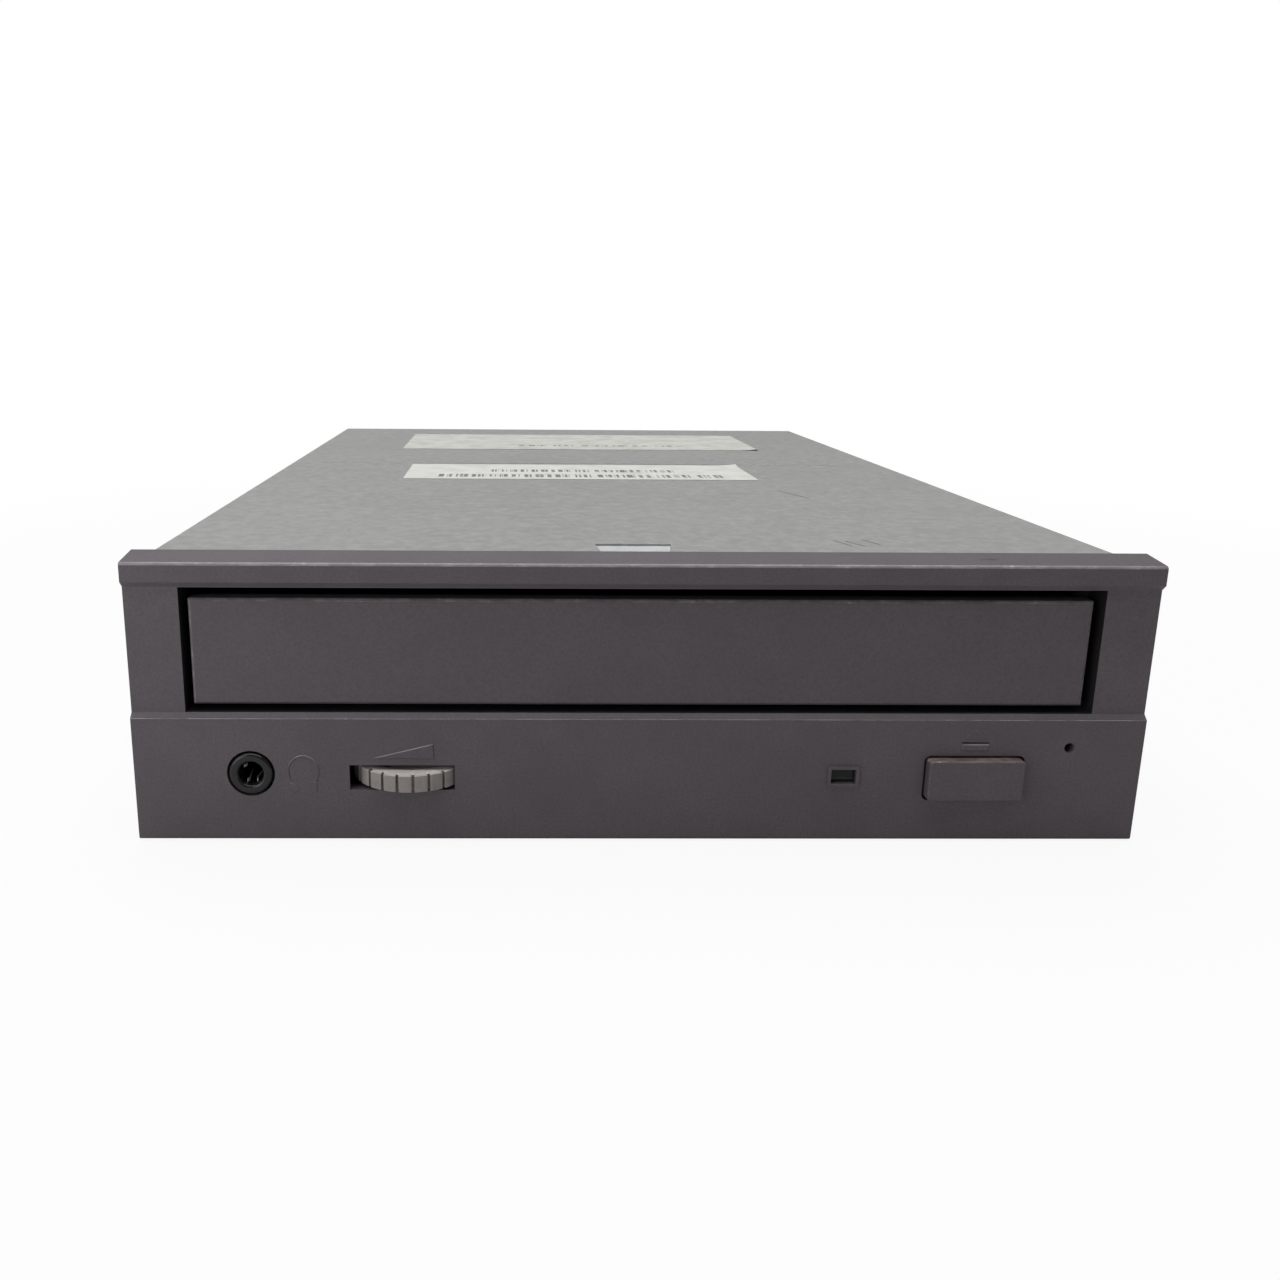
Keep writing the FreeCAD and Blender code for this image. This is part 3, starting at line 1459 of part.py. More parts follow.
lower(keep(actuator, "lens_actuator"))
crown_low = s.lens_top - s.lens_crown
lens = fuse("objective_lens", [
    rod("lens_body", "z", (0, lens_y), (s.sled_high, crown_low), s.lens_radius),
    taper("lens_dome", "z", (0, lens_y), (crown_low, s.lens_top), (s.lens_radius, 0.6 * s.lens_radius)),
])
lower(keep(lens, "objective_lens"))

# Pickup rack, screwed to the fork side of the sled, and the two-step gear train that drives it.
ly = lens_y.value
sled_module = s.sled_module.value
sled_teeth = int(s.sled_teeth.value)
sgx = sled_gear_x.value
sgy = sled_gear_y.value
rack_face = (s.sled_rack_line - 1.2 * s.sled_module).value
rack_low_z = (s.rod_z - s.sled_rack_under).value
rack_high_z = (s.rod_z + s.sled_rack_over).value
rack_start = ly - s.sled_rack_fore.value
rack_end = ly + s.sled_rack_aft.value
sled_pitch = math.pi * sled_module
rack_points = [(s.bush_outer.value, rack_end), (s.bush_outer.value, rack_start), (rack_face, rack_start)]
tooth_place = sgy + sled_pitch / 2
while tooth_place - sled_pitch > rack_start + sled_pitch:
    tooth_place -= sled_pitch
tooth_depth = 2.1 * sled_module
root_half = 1.097 * sled_module
tip_half = 0.332 * sled_module
while tooth_place < rack_end - sled_pitch / 2:
    rack_points.append((rack_face, tooth_place - root_half))
    rack_points.append((rack_face + tooth_depth, tooth_place - tip_half))
    rack_points.append((rack_face + tooth_depth, tooth_place + tip_half))
    rack_points.append((rack_face, tooth_place + root_half))
    tooth_place += sled_pitch
rack_points.append((rack_face, rack_end))
lower(keep(solid("pickup_rack", prism(rack_points, rack_low_z, rack_high_z)), "pickup_rack"))

drive_module = s.drive_module.value
drive_big = int(s.drive_big_teeth.value)
drive_small = int(s.drive_small_teeth.value)
drive_high = (s.plate_low - s.seat_gap).value
drive_low = drive_high - s.drive_face.value
sled_gear_shape = [
    gear_solid(sgx, sgy, sled_teeth, sled_module, 180, rack_low_z, rack_high_z),
    disc_solid(sgx, sgy, drive_high, rack_low_z, 2 * s.spindle_shaft.value),
    gear_solid(sgx, sgy, drive_big, drive_module, 270, drive_low, drive_high),
]
lower(running_gear("sled_gear", sled_gear_shape, sgx, sgy, drive_low, rack_high_z, spindle_bore))
drive_y = sgy - drive_module * (drive_big + drive_small) / 2
bracket_top = drive_low - s.seat_gap.value
bracket_low = bracket_top - s.pan_sheet.value
sled_shaft_low = bracket_low - s.sled_shaft_depth.value
pinion_turn = 90 + 180 / drive_small
pinion_shape = gear_solid(sgx, drive_y, drive_small, drive_module, pinion_turn, drive_low, drive_high)
pinion_shape = pinion_shape.fuse(disc_solid(sgx, drive_y, sled_shaft_low, drive_low, s.sled_shaft.value))
lower(keep(solid("sled_pinion", pinion_shape.removeSplitter()), "sled_pinion"))

# The bracket hangs under the deck on two legs; it holds the motor and the gear's pin.
bracket_half = s.bracket_half.value
leg = s.bracket_leg.value
reach_front = drive_y - s.sled_motor_radius.value - s.seat_gap.value
reach_back = sgy + drive_module * (drive_big / 2 + 1) + s.seat_gap.value
plate_under = s.plate_low.value


def box_solid(x, y, z):
    return Part.makeBox(x[1] - x[0], y[1] - y[0], z[1] - z[0], Vector(x[0], y[0], z[0]))


bracket_x = (sgx - bracket_half, sgx + bracket_half)
bracket_shape = box_solid(bracket_x, (reach_front - leg, reach_back + leg), (bracket_low, bracket_top))
bracket_shape = bracket_shape.multiFuse([
    box_solid(bracket_x, (reach_front - leg, reach_front), (bracket_low, plate_under)),
    box_solid(bracket_x, (reach_back, reach_back + leg), (bracket_low, plate_under)),
    disc_solid(sgx, sgy, bracket_low, rack_high_z + s.seat_gap.value, s.spindle_shaft.value),
])
shaft_hole = disc_solid(sgx, drive_y, bracket_low - 1, bracket_top + 1, 2.5 * s.spindle_shaft.value)
bracket_shape = bracket_shape.cut(shaft_hole)
lower(keep(solid("drive_bracket", bracket_shape.removeSplitter()), "drive_bracket"))
sled_motor_shape = disc_solid(sgx, drive_y, s.sled_motor_low.value, bracket_low, s.sled_motor_radius.value)
motor_bore = (s.sled_shaft + s.shaft_clearance).value
motor_bore_low = sled_shaft_low - s.seat_gap.value
motor_bore_solid = disc_solid(sgx, drive_y, motor_bore_low, bracket_low + 1, motor_bore)
sled_motor_shape = sled_motor_shape.cut(motor_bore_solid)
lower(keep(solid("sled_motor", sled_motor_shape), "sled_motor"))


# Clamp bridge over the tray, and the clamper that hangs in its ring.
bridge_high = s.bridge_low + s.bridge_sheet
bridge_span = (front + s.bridge_front, front + s.bridge_back)
bridge = Piece("clamp_bridge")
bridge.pad(
    "XY", (s.bridge_low, bridge_high),
    rectangle((-s.bridge_half, s.bridge_half), bridge_span), circle(0, disc_y, s.bridge_hole),
)
bridge_leg = s.bridge_half - s.bridge_sheet
for left, right in ((-s.bridge_half, -bridge_leg), (bridge_leg, s.bridge_half)):
    bridge.pad("XY", (s.frame_top, bridge_high), rectangle((left, right), bridge_span))
guard = s.clamper_flange + s.bridge_sheet
bridge.pad(
    "XY", (s.bridge_low + s.bridge_sheet / 2, bridge_high + s.bridge_sheet),
    circle(0, disc_y, guard + s.bridge_sheet), circle(0, disc_y, guard),
)
clamper = Piece("clamper")
flange_low = bridge_high + s.seat_gap / 2
recess_high = s.clamper_low + s.clamper_recess
recess_radius = s.cone_base + 2 * s.seat_gap
clamper.revolve([polygon(
    (0, recess_high), (recess_radius, recess_high), (recess_radius, s.clamper_low),
    (s.clamper_radius, s.clamper_low), (s.clamper_radius, flange_low), (s.clamper_flange, flange_low),
    (s.clamper_flange, s.clamper_high), (0, s.clamper_high),
)])
bind(clamper.body, "Placement.Base.y", disc_y)
yoke_span = (recess_high - s.yoke_thick, recess_high)
yoke = rod("clamper_yoke", "z", (0, disc_y), yoke_span, recess_radius - s.lap_gap)
keep(group("clamper_plate_ring", [yoke]), "clamper_plate")


# Main board, its components, and the connectors along its back edge.
main_board = Piece("main_board")
board_back = case_back - s.board_rear_gap
board_y = (front + s.board_front, board_back - s.board_wide_depth, board_back)
main_board.pad("XY", (s.board_low, board_top), polygon(
    (-s.board_narrow, board_y[0]), (s.board_narrow, board_y[0]), (s.board_narrow, board_y[1]),
    (board_wide, board_y[1]), (board_wide, board_y[2]), (-board_wide, board_y[2]),
    (-board_wide, board_y[1]), (-s.board_narrow, board_y[1]),
))
main_board.pocket(
    "XY", (s.board_low - 1, board_top + 1),
    *[circle(x, y, s.hole_radius + 2 * s.lap_gap) for x, y in stands],
)
chip_top = board_top + s.chip_height


def chip(label, x, y, across, along):
    """One flat package on the board, by its centre and its half sizes."""
    span_y = (y - along, y + along)
    return block(f"chip_{label}", (x - across, x + across), span_y, (board_top, chip_top))


chips = [
    chip("servo", s.servo_x, front + s.servo_depth, s.servo_half, s.servo_half),
    chip("decoder", s.decoder_x, front + s.decoder_depth, s.decoder_half, s.decoder_long),
    chip("buffer", s.buffer_x, front + s.buffer_depth, s.buffer_half, s.buffer_long),
    chip("driver", s.driver_x, front + s.driver_depth, s.driver_half, s.driver_half),
    chip("interface", s.interface_x, case_back - s.interface_rear, s.interface_half, s.interface_long),
    chip("program", s.program_x, case_back - s.program_rear, s.program_half, s.program_long),
]
keep(group("board_chips", chips), "board_chips")
capacitor_y = case_back - s.capacitor_rear
capacitor_z = (board_top, board_top + s.capacitor_height)
capacitors = [
    rod(
        f"capacitor_{i}", "z", (s.capacitor_first + i * s.capacitor_pitch, capacitor_y),
        capacitor_z, s.capacitor_radius,
    )
    for i in range(int(s.capacitor_count.value))
]
keep(group("board_capacitors", capacitors), "board_capacitors")

shroud_front = case_back - s.header_depth
wall = s.header_wall
header_inner = (header_span[0] + 2 * wall, header_span[1] - 2 * wall)
header = Piece("scsi_header")
header_z = (board_top, board_top + s.header_height)
header.pad("XZ", (shroud_front, case_back), rectangle(header_span, header_z))
header.pocket(
    "XZ", (shroud_front + 1.4 * wall, case_back + 1),
    rectangle(header_inner, (board_top + wall, board_top + s.header_height - wall)),
)
header.pocket(
    "XZ", (shroud_front + 1.4 * wall, case_back + 1),
    rectangle(
        (header_x - s.header_key / 2, header_x + s.header_key / 2),
        (board_top + s.header_height - 2 * wall, board_top + s.header_height + 1),
    ),
)
header_mid = board_top + s.header_height / 2
row_heights = (header_mid - s.pin_pitch / 2, header_mid + s.pin_pitch / 2)
pin_slot = s.pin_half + s.lap_gap / 2
for row_z in row_heights:
    header.pocket(
        "XZ", (shroud_front - 1, case_back - 2 * wall),
        rectangle(header_inner, (row_z - pin_slot, row_z + pin_slot)),
    )


def bent_pins(x_start, columns, rows, tip_y, bend_y):
    """Square pins that run back from a bend and turn down to the board, one below the other."""
    pins = []
    half_pin = s.pin_half.value
    foot_z = board_top.value
    for column in range(columns):
        x = x_start + column * s.pin_pitch.value
        for number, row_z in enumerate(rows):
            bend = bend_y - number * s.pin_pitch.value
            points = [
                (bend - half_pin, foot_z), (bend + half_pin, foot_z), (bend + half_pin, row_z - half_pin),
                (tip_y, row_z - half_pin), (tip_y, row_z + half_pin), (bend - half_pin, row_z + half_pin),
            ]
            corners = [Vector(x - half_pin, y, z) for y, z in points]
            face = Part.Face(Part.makePolygon(corners + corners[:1]))
            pins.append(face.extrude(Vector(2 * half_pin, 0, 0)))
    return pins


columns = int(s.header_columns.value)
first_column = (header_x - s.pin_pitch * (columns - 1) / 2).value
header_pins = bent_pins(
    first_column, columns, [z.value for z in row_heights],
    (case_back - 1).value, (shroud_front - 1.4).value,
)
keep(solid("scsi_pins", Part.makeCompound(header_pins)), "scsi_pins")

power = Piece("power_socket")
power_y = case_back - s.power_depth
power_z = (board_top, board_top + s.power_height)
power_cavity = case_back - 0.75 * s.power_depth
power.pad("XZ", (power_y, case_back), rectangle(power_span, power_z))
power.pocket("XZ", (power_cavity, case_back + 1), polygon(
    (power_span[0] + wall, power_z[0] + wall), (power_span[1] - wall, power_z[0] + wall),
    (power_span[1] - wall, power_z[1] - 2.4 * wall), (power_span[1] - 2.4 * wall, power_z[1] - wall),
    (power_span[0] + 2.4 * wall, power_z[1] - wall), (power_span[0] + wall, power_z[1] - 2.4 * wall),
))
power_x = (power_span[0] + power_span[1]) / 2
power_mid = (power_z[0] + power_z[1]) / 2
power_pins = [
    rod(
        f"power_pin_{i}", "y", (power_x + (i - 1.5) * s.power_pitch, power_mid),
        (power_cavity, case_back - 1.5), 1.05,
    )
    for i in range(4)
]
keep(group("power_pins", power_pins), "power_pins")

jumper_back = case_back - s.jumper_inset
jumper_front = jumper_back - s.pin_pitch
jumper_top = board_top + 2 * s.pin_pitch
jumper_base = block("jumper_base", jumper_span, (jumper_front, jumper_back), (board_top, jumper_top))
jumper_first = (jumper_span[0] + s.pin_pitch / 2).value
jumper_rows = [(board_top + s.pin_pitch * (row + 0.5)).value for row in range(2)]
jumper_pin_list = bent_pins(
    jumper_first, int(s.jumper_columns.value), jumper_rows,
    (case_back - 0.3).value, (jumper_front - 1.4).value,
)
jumper_pin_solid = solid("jumper_pin_set", Part.makeCompound(jumper_pin_list))
keep(fuse("jumper_header", [jumper_base, jumper_pin_solid]), "jumper_header")
cap_list = []
for i in (0, 3):
    cap_x = jumper_first + i * s.pin_pitch
    cap_body = block(
        f"cap_body_{i}", (cap_x - 0.46 * s.pin_pitch, cap_x + 0.46 * s.pin_pitch),
        (jumper_back + s.lap_gap, case_back), (board_top + s.lap_gap, jumper_top - s.lap_gap),
    )
    cap_hole = block(
        f"cap_hole_{i}", (cap_x - pin_slot, cap_x + pin_slot), (jumper_back - 1, case_back - 0.2),
        (board_top + 0.5 * s.pin_pitch - pin_slot, board_top + 1.5 * s.pin_pitch + pin_slot),
    )
    cap_list.append(cut(f"cap_{i}", cap_body, [cap_hole]))
keep(group("jumper_caps", cap_list), "jumper_caps")

socket_front = case_back - s.header_depth
thin_wall = 0.8 * wall
socket_list = []
signal_pins = []
audio_mid = board_top + s.audio_height / 2
for label, span, count in (("audio", audio_span, 4), ("digital", digital_span, 2)):
    body = block(f"{label}_body", span, (socket_front, case_back), (board_top, board_top + s.audio_height))
    hollow = block(
        f"{label}_hollow", (span[0] + thin_wall, span[1] - thin_wall),
        (socket_front + 2 * wall, case_back + 1),
        (board_top + thin_wall, board_top + s.audio_height - thin_wall),
    )
    socket_list.append(cut(f"{label}_socket", body, [hollow]))
    middle = (span[0] + span[1]) / 2
    for i in range(count):
        pin_place = middle + (i - (count - 1) / 2) * s.pin_pitch
        signal_pins.append(block(
            f"{label}_pin_{i}", (pin_place - s.pin_half, pin_place + s.pin_half),
            (socket_front + 2 * wall, case_back - 1.2), (audio_mid - s.pin_half, audio_mid + s.pin_half),
        ))
keep(group("audio_sockets", socket_list), "audio_sockets")
keep(group("signal_pins", signal_pins), "signal_pins")


# Control board behind the bezel, with the jack, the volume pot, the lamp and the eject switch.
control_y = (front + s.control_front, front + s.control_back)
control = block("control_sheet", (-s.control_half, s.control_half), control_y, (s.control_low, control_top))
keep(group("control_board_sheet", [control]), "control_board")
spacer_places = [(side * 0.78 * s.control_half, front + 0.8 * s.control_back) for side in (-1, 1)]
spacers = [
    rod(f"spacer_{i}", "z", place, (s.pan_sheet, s.control_low), s.stand_radius)
    for i, place in enumerate(spacer_places)
]
keep(group("control_spacers", spacers), "control_spacers")
jack = Piece("headphone_jack")
jack_half = s.jack_body_width / 2
jack.pad(
    "XZ", (front + s.bezel_wall + s.seat_gap, front + s.jack_body_back),
    rectangle((s.jack_x - jack_half, s.jack_x + jack_half), (control_top, s.jack_body_top)),
)
nose_span = (front - s.seat_gap, front + s.bezel_wall + 2 * s.seat_gap)
jack.pad("XZ", nose_span, circle(s.jack_x, s.jack_z, s.jack_nose))
jack.pocket("XZ", (front - 1, front + s.jack_body_back - 1), circle(s.jack_x, s.jack_z, s.jack_bore))
wheel_y = front + s.wheel_depth
pot = cut(
    "volume_pot",
    rod("pot_body", "z", (s.wheel_x, wheel_y), (control_top, s.wheel_low - s.seat_gap), s.pot_radius),
    [rod(
        "pot_bore", "z", (s.wheel_x, wheel_y), (control_top + 1, s.wheel_low),
        s.pot_shaft + s.shaft_clearance,
    )],
)
keep(pot, "volume_pot")


def wheel_outline():
    """A round rim with narrow square grooves between flat ribs."""
    radius = s.wheel_radius.value
    root = radius - s.wheel_groove_depth.value
    half_groove = s.wheel_groove.value / 2
    count = int(s.wheel_ribs.value)
    polar = []
    for rib in range(count):
        middle = 2 * math.pi * (rib + 0.5) / count
        for distance, offset in ((radius, -1), (root, -1), (root, 1), (radius, 1)):
            polar.append((distance, middle + offset * half_groove / distance))
        polar.append((radius, 2 * math.pi * (rib + 1) / count))
    centre_x = s.wheel_x.value
    centre_y = wheel_y.value
    return [(centre_x + r * math.cos(angle), centre_y + r * math.sin(angle)) for r, angle in polar]


wheel_shape = prism(wheel_outline(), s.wheel_low.value, s.wheel_high.value)
wheel_shape = wheel_shape.fuse(disc_solid(
    s.wheel_x.value, wheel_y.value, control_top.value + 1.3, s.wheel_high.value, s.pot_shaft.value,
))
keep(solid("volume_wheel", wheel_shape.removeSplitter()), "volume_wheel")
led_gap = s.lap_gap
led_lens = block(
    "led_lens_block", (s.led_left + led_gap, s.led_right - led_gap),
    (front + s.led_recess, front + 2 * s.bezel_wall),
    (s.led_low + led_gap, s.led_high - led_gap),
)
keep(group("led_lens_set", [led_lens]), "led_lens")
led_mid = (s.led_left + s.led_right) / 2
led_z = (s.led_low + s.led_high) / 2
led_y = front + 2 * s.bezel_wall + s.seat_gap
led_leg_y = (led_y + 3.2, led_y + 3.8)
led_lamp = fuse("led_lamp", [
    rod("led_dome", "y", (led_mid, led_z), (led_y, led_y + 4.2), 1.5),
    block("led_leg_left", (led_mid - 1.4, led_mid - 0.9), led_leg_y, (control_top, led_z)),
    block("led_leg_right", (led_mid + 0.9, led_mid + 1.4), led_leg_y, (control_top, led_z)),
])
keep(led_lamp, "led_lamp")
button = Piece("eject_button")
gap = s.eject_clearance
button_x = (s.eject_left + gap, s.eject_right - gap)
button_z = (s.eject_low + gap, s.eject_high - gap)
button_face = front - s.eject_proud
button.pad("XZ", (button_face, front + 1.7 * s.bezel_wall), rectangle(button_x, button_z))
button.dress("Fillet", s.eject_corner - gap, straight("y", x=button_x, z=button_z))
button.dress("Fillet", s.seat_gap, round_the_face(button_face))
flange_y = front + s.bezel_wall + s.seat_gap
button.pad(
    "XZ", (flange_y, flange_y + s.pan_sheet),
    rectangle(
        (s.eject_left - 2 * gap, s.eject_right + 2 * gap),
        (s.eject_low - 2 * gap, s.eject_high + 2 * gap),
    ),
)
button_mid = ((s.eject_left + s.eject_right) / 2, (s.eject_low + s.eject_high) / 2)
switch_front = front + 7
button.pad("XZ", (flange_y, switch_front - s.eject_travel - s.lap_gap), circle(*button_mid, s.post_radius))
switch = fuse("eject_switch", [
    block(
        "switch_body", (button_mid[0] - 3, button_mid[0] + 3),
        (switch_front + 0.5, switch_front + 4), (control_top, button_mid[1] + 3),
    ),
    rod("switch_plunger", "y", button_mid, (switch_front, switch_front + 1), s.post_radius),
])
keep(switch, "eject_switch")


# Fasteners, and the two flat ribbons with their sockets.
def screw(name, axis, centre, start, head, length, head_radius, inward):
    """A screw whose head starts at start and whose shank runs inward from it."""
    under = start + inward * head
    tip = start + inward * length
    first = (start, under) if inward > 0 else (under, start)
    second = (under, tip) if inward > 0 else (tip, under)
    return fuse(name, [
        rod(f"{name}_head", axis, centre, first, head_radius),
        rod(f"{name}_shank", axis, centre, second, s.screw_radius),
    ])


flush_head = s.sink_depth - s.screw_clearance
cover_screws = []
for i, y in enumerate(cover_screw_places):
    place = (y, cover_screw_z)
    for side, name in ((-1, f"cover_screw_l{i}"), (1, f"cover_screw_r{i}")):
        cover_screws.append(screw(
            name, "x", place, side * half, flush_head, s.cover_screw_length, s.sink_radius, -side,
        ))
keep(group("cover_screws", cover_screws), "cover_screws")
frame_screw_length = 2 * s.cover_screw_length
frame_screws = [
    screw(f"frame_screw_{i}", "z", place, as_size(0), flush_head, frame_screw_length, s.sink_radius, 1)
    for i, place in enumerate(feet)
]
keep(group("frame_screws", frame_screws), "frame_screws")
board_head = board_top + s.head_height
board_screw_length = s.cover_screw_length + s.head_height
board_screws = [
    screw(f"board_screw_{i}", "z", place, board_head, s.head_height, board_screw_length, s.head_radius, -1)
    for i, place in enumerate(stands)
]
keep(group("board_screws", board_screws), "board_screws")

ribbon_thick = s.seat_gap
control_socket = (front + s.control_socket_front, front + s.control_socket_front + s.socket_long)
main_socket = (board_y[0] + s.main_socket_gap, board_y[0] + s.main_socket_gap + s.socket_long)
deck_socket = (front + s.deck_socket_front, front + s.deck_socket_front + s.socket_long)
socket_x = (s.control_socket_x - s.socket_half, s.control_socket_x + s.socket_half)
deck_socket_x = (s.deck_socket_x - s.deck_socket_half, s.deck_socket_x + s.deck_socket_half)
socket_top = board_top + s.socket_height
sockets = [
    block("control_socket", socket_x, control_socket, (control_top, control_top + s.socket_height)),
    block("main_socket", socket_x, main_socket, (board_top, socket_top)),
    block("deck_socket", deck_socket_x, deck_socket, (board_top, socket_top)),
]
keep(group("ribbon_sockets", sockets), "ribbon_sockets")
flat_z = control_top + s.ribbon_lift
rise_z = board_top + s.ribbon_seat
bend_y = front + s.control_bend
ribbon = Piece("control_ribbon")
ribbon.pad("YZ", (s.control_socket_x - s.ribbon_half, s.control_socket_x + s.ribbon_half), polygon(
    (control_socket[1], flat_z), (bend_y, flat_z),
    (board_y[0] - 2 * ribbon_thick, rise_z), (main_socket[0], rise_z),
    (main_socket[0], rise_z + ribbon_thick), (board_y[0] - 3 * ribbon_thick, rise_z + ribbon_thick),
    (bend_y - ribbon_thick, flat_z + ribbon_thick), (control_socket[1], flat_z + ribbon_thick),
))
deck_ribbon_y = (deck_socket[0] + deck_socket[1]) / 2
deck_ribbon_back = deck_ribbon_y + s.deck_ribbon_reach
deck_ribbon_top = s.plate_low - s.deck_ribbon_gap
deck_ribbon_high = s.deck_ribbon_low + s.deck_ribbon_rise
deck_ribbon = Piece("deck_ribbon")
deck_ribbon.pad("YZ", (s.deck_socket_x - s.deck_ribbon_half, s.deck_socket_x + s.deck_ribbon_half), polygon(
    (deck_ribbon_y, socket_top), (deck_ribbon_y + ribbon_thick, socket_top),
    (deck_ribbon_y + ribbon_thick, s.deck_ribbon_low), (deck_ribbon_back, deck_ribbon_high),
    (deck_ribbon_back, deck_ribbon_top), (deck_ribbon_back - ribbon_thick, deck_ribbon_top),
    (deck_ribbon_back - ribbon_thick, deck_ribbon_high + ribbon_thick),
    (deck_ribbon_y, s.deck_ribbon_low + ribbon_thick),
))
doc.recompute()


for thing in doc.Objects:
    if "Invalid" in thing.State or "Error" in thing.State:
        raise RuntimeError(f"{thing.Name} did not build")
os.makedirs("parts", exist_ok=True)
for thing in kept:
    if thing.Shape.isNull() or not thing.Shape.isValid():
        raise RuntimeError(f"{thing.Label} has no sound shape")
    thing.Shape.exportStep(f"parts/{thing.Label}.step")
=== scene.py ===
import math

import bmesh
import bpy
from mathutils import Matrix, Vector


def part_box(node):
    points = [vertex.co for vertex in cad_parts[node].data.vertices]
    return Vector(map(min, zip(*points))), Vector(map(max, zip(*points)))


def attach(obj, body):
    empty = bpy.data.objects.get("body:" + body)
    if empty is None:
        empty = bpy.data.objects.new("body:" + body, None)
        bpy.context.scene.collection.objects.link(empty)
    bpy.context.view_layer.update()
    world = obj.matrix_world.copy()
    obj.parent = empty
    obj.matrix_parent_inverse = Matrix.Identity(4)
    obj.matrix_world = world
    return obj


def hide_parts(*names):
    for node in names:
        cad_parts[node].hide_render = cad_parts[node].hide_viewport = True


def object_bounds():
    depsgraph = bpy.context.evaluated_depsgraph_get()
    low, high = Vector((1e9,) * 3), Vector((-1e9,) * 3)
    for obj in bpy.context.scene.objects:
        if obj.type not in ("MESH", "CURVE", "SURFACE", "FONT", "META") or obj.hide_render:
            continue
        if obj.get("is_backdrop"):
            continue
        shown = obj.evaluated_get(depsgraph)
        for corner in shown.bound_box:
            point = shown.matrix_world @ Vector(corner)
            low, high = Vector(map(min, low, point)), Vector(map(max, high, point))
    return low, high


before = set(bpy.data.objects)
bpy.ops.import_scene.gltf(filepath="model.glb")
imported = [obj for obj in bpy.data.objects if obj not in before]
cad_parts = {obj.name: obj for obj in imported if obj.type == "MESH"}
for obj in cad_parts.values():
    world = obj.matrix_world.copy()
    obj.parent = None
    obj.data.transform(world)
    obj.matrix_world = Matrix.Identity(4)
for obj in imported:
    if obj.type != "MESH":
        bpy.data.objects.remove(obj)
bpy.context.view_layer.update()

MM = 0.001
BEZEL_DEPTH = 5.8
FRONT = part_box("base_pan")[0].y - BEZEL_DEPTH * MM
scene = bpy.context.scene


# Studio
# The drive stands on a pale table, under a wide soft box and with a small one at the left. The
# camera is a little left of the middle and above the top face, turned slightly, looking down.
SQUARE = ((-1, -1), (1, -1), (1, 1), (-1, 1))


def place_object(name, data):
    thing = bpy.data.objects.new(name, data)
    scene.collection.objects.link(thing)
    return thing


def new_piece(name, mesh):
    """An object made of a bmesh, which is used up."""
    data = bpy.data.meshes.new(name)
    mesh.to_mesh(data)
    mesh.free()
    return place_object(name, data)


def build(tree, kinds, settings, links):
    """Adds named nodes to a tree, sets them and joins them: (node, output, node, input)."""
    made = {name: tree.nodes.new(kind) for name, kind in kinds.items()}
    for name, key, value in settings:
        setattr(made[name], key, value)
    for first, output, second, socket in links:
        tree.links.new(made[first].outputs[output], made[second].inputs[socket])
    return made


EYE = Vector((-19.23, -147.8 + FRONT / MM, 74.52)) * MM
YAW, PITCH, ROLL = 0.01371, 0.2267, 0.007005
PICTURE = 1280
FOCAL_PIXELS = 1079.0
CENTRE_PIXEL = (524.3, 575.3)

lens = bpy.data.cameras.new("camera")
lens.sensor_width = 36
lens.lens = FOCAL_PIXELS / PICTURE * lens.sensor_width
lens.shift_x = (PICTURE / 2 - CENTRE_PIXEL[0]) / PICTURE
lens.shift_y = (CENTRE_PIXEL[1] - PICTURE / 2) / PICTURE
lens.clip_start = 0.005
lens.clip_end = 20
camera = place_object("camera", lens)
camera.matrix_world = (
    Matrix.Translation(EYE) @ Matrix.Rotation(-YAW, 4, "Z")
    @ Matrix.Rotation(math.pi / 2 - PITCH, 4, "X") @ Matrix.Rotation(ROLL, 4, "Z"))
scene.camera = camera
scene.view_settings.view_transform = "Standard"


class Wire:
    """A socket of a material, on which sums can be written as on a number."""

    def __init__(self, finish, socket):
        self.finish, self.socket = finish, socket

    def sum(self, operation, first, second):
        return self.finish.add("ShaderNodeMath", {"operation": operation}, {0: first, 1: second})

    __add__ = __radd__ = lambda self, other: self.sum("ADD", self, other)
    __mul__ = __rmul__ = lambda self, other: self.sum("MULTIPLY", self, other)
    __sub__ = lambda self, other: self.sum("SUBTRACT", self, other)
    __rsub__ = lambda self, other: self.sum("SUBTRACT", other, self)
    __gt__ = lambda self, other: self.sum("GREATER_THAN", self, other)
    __lt__ = lambda self, other: self.sum("LESS_THAN", self, other)


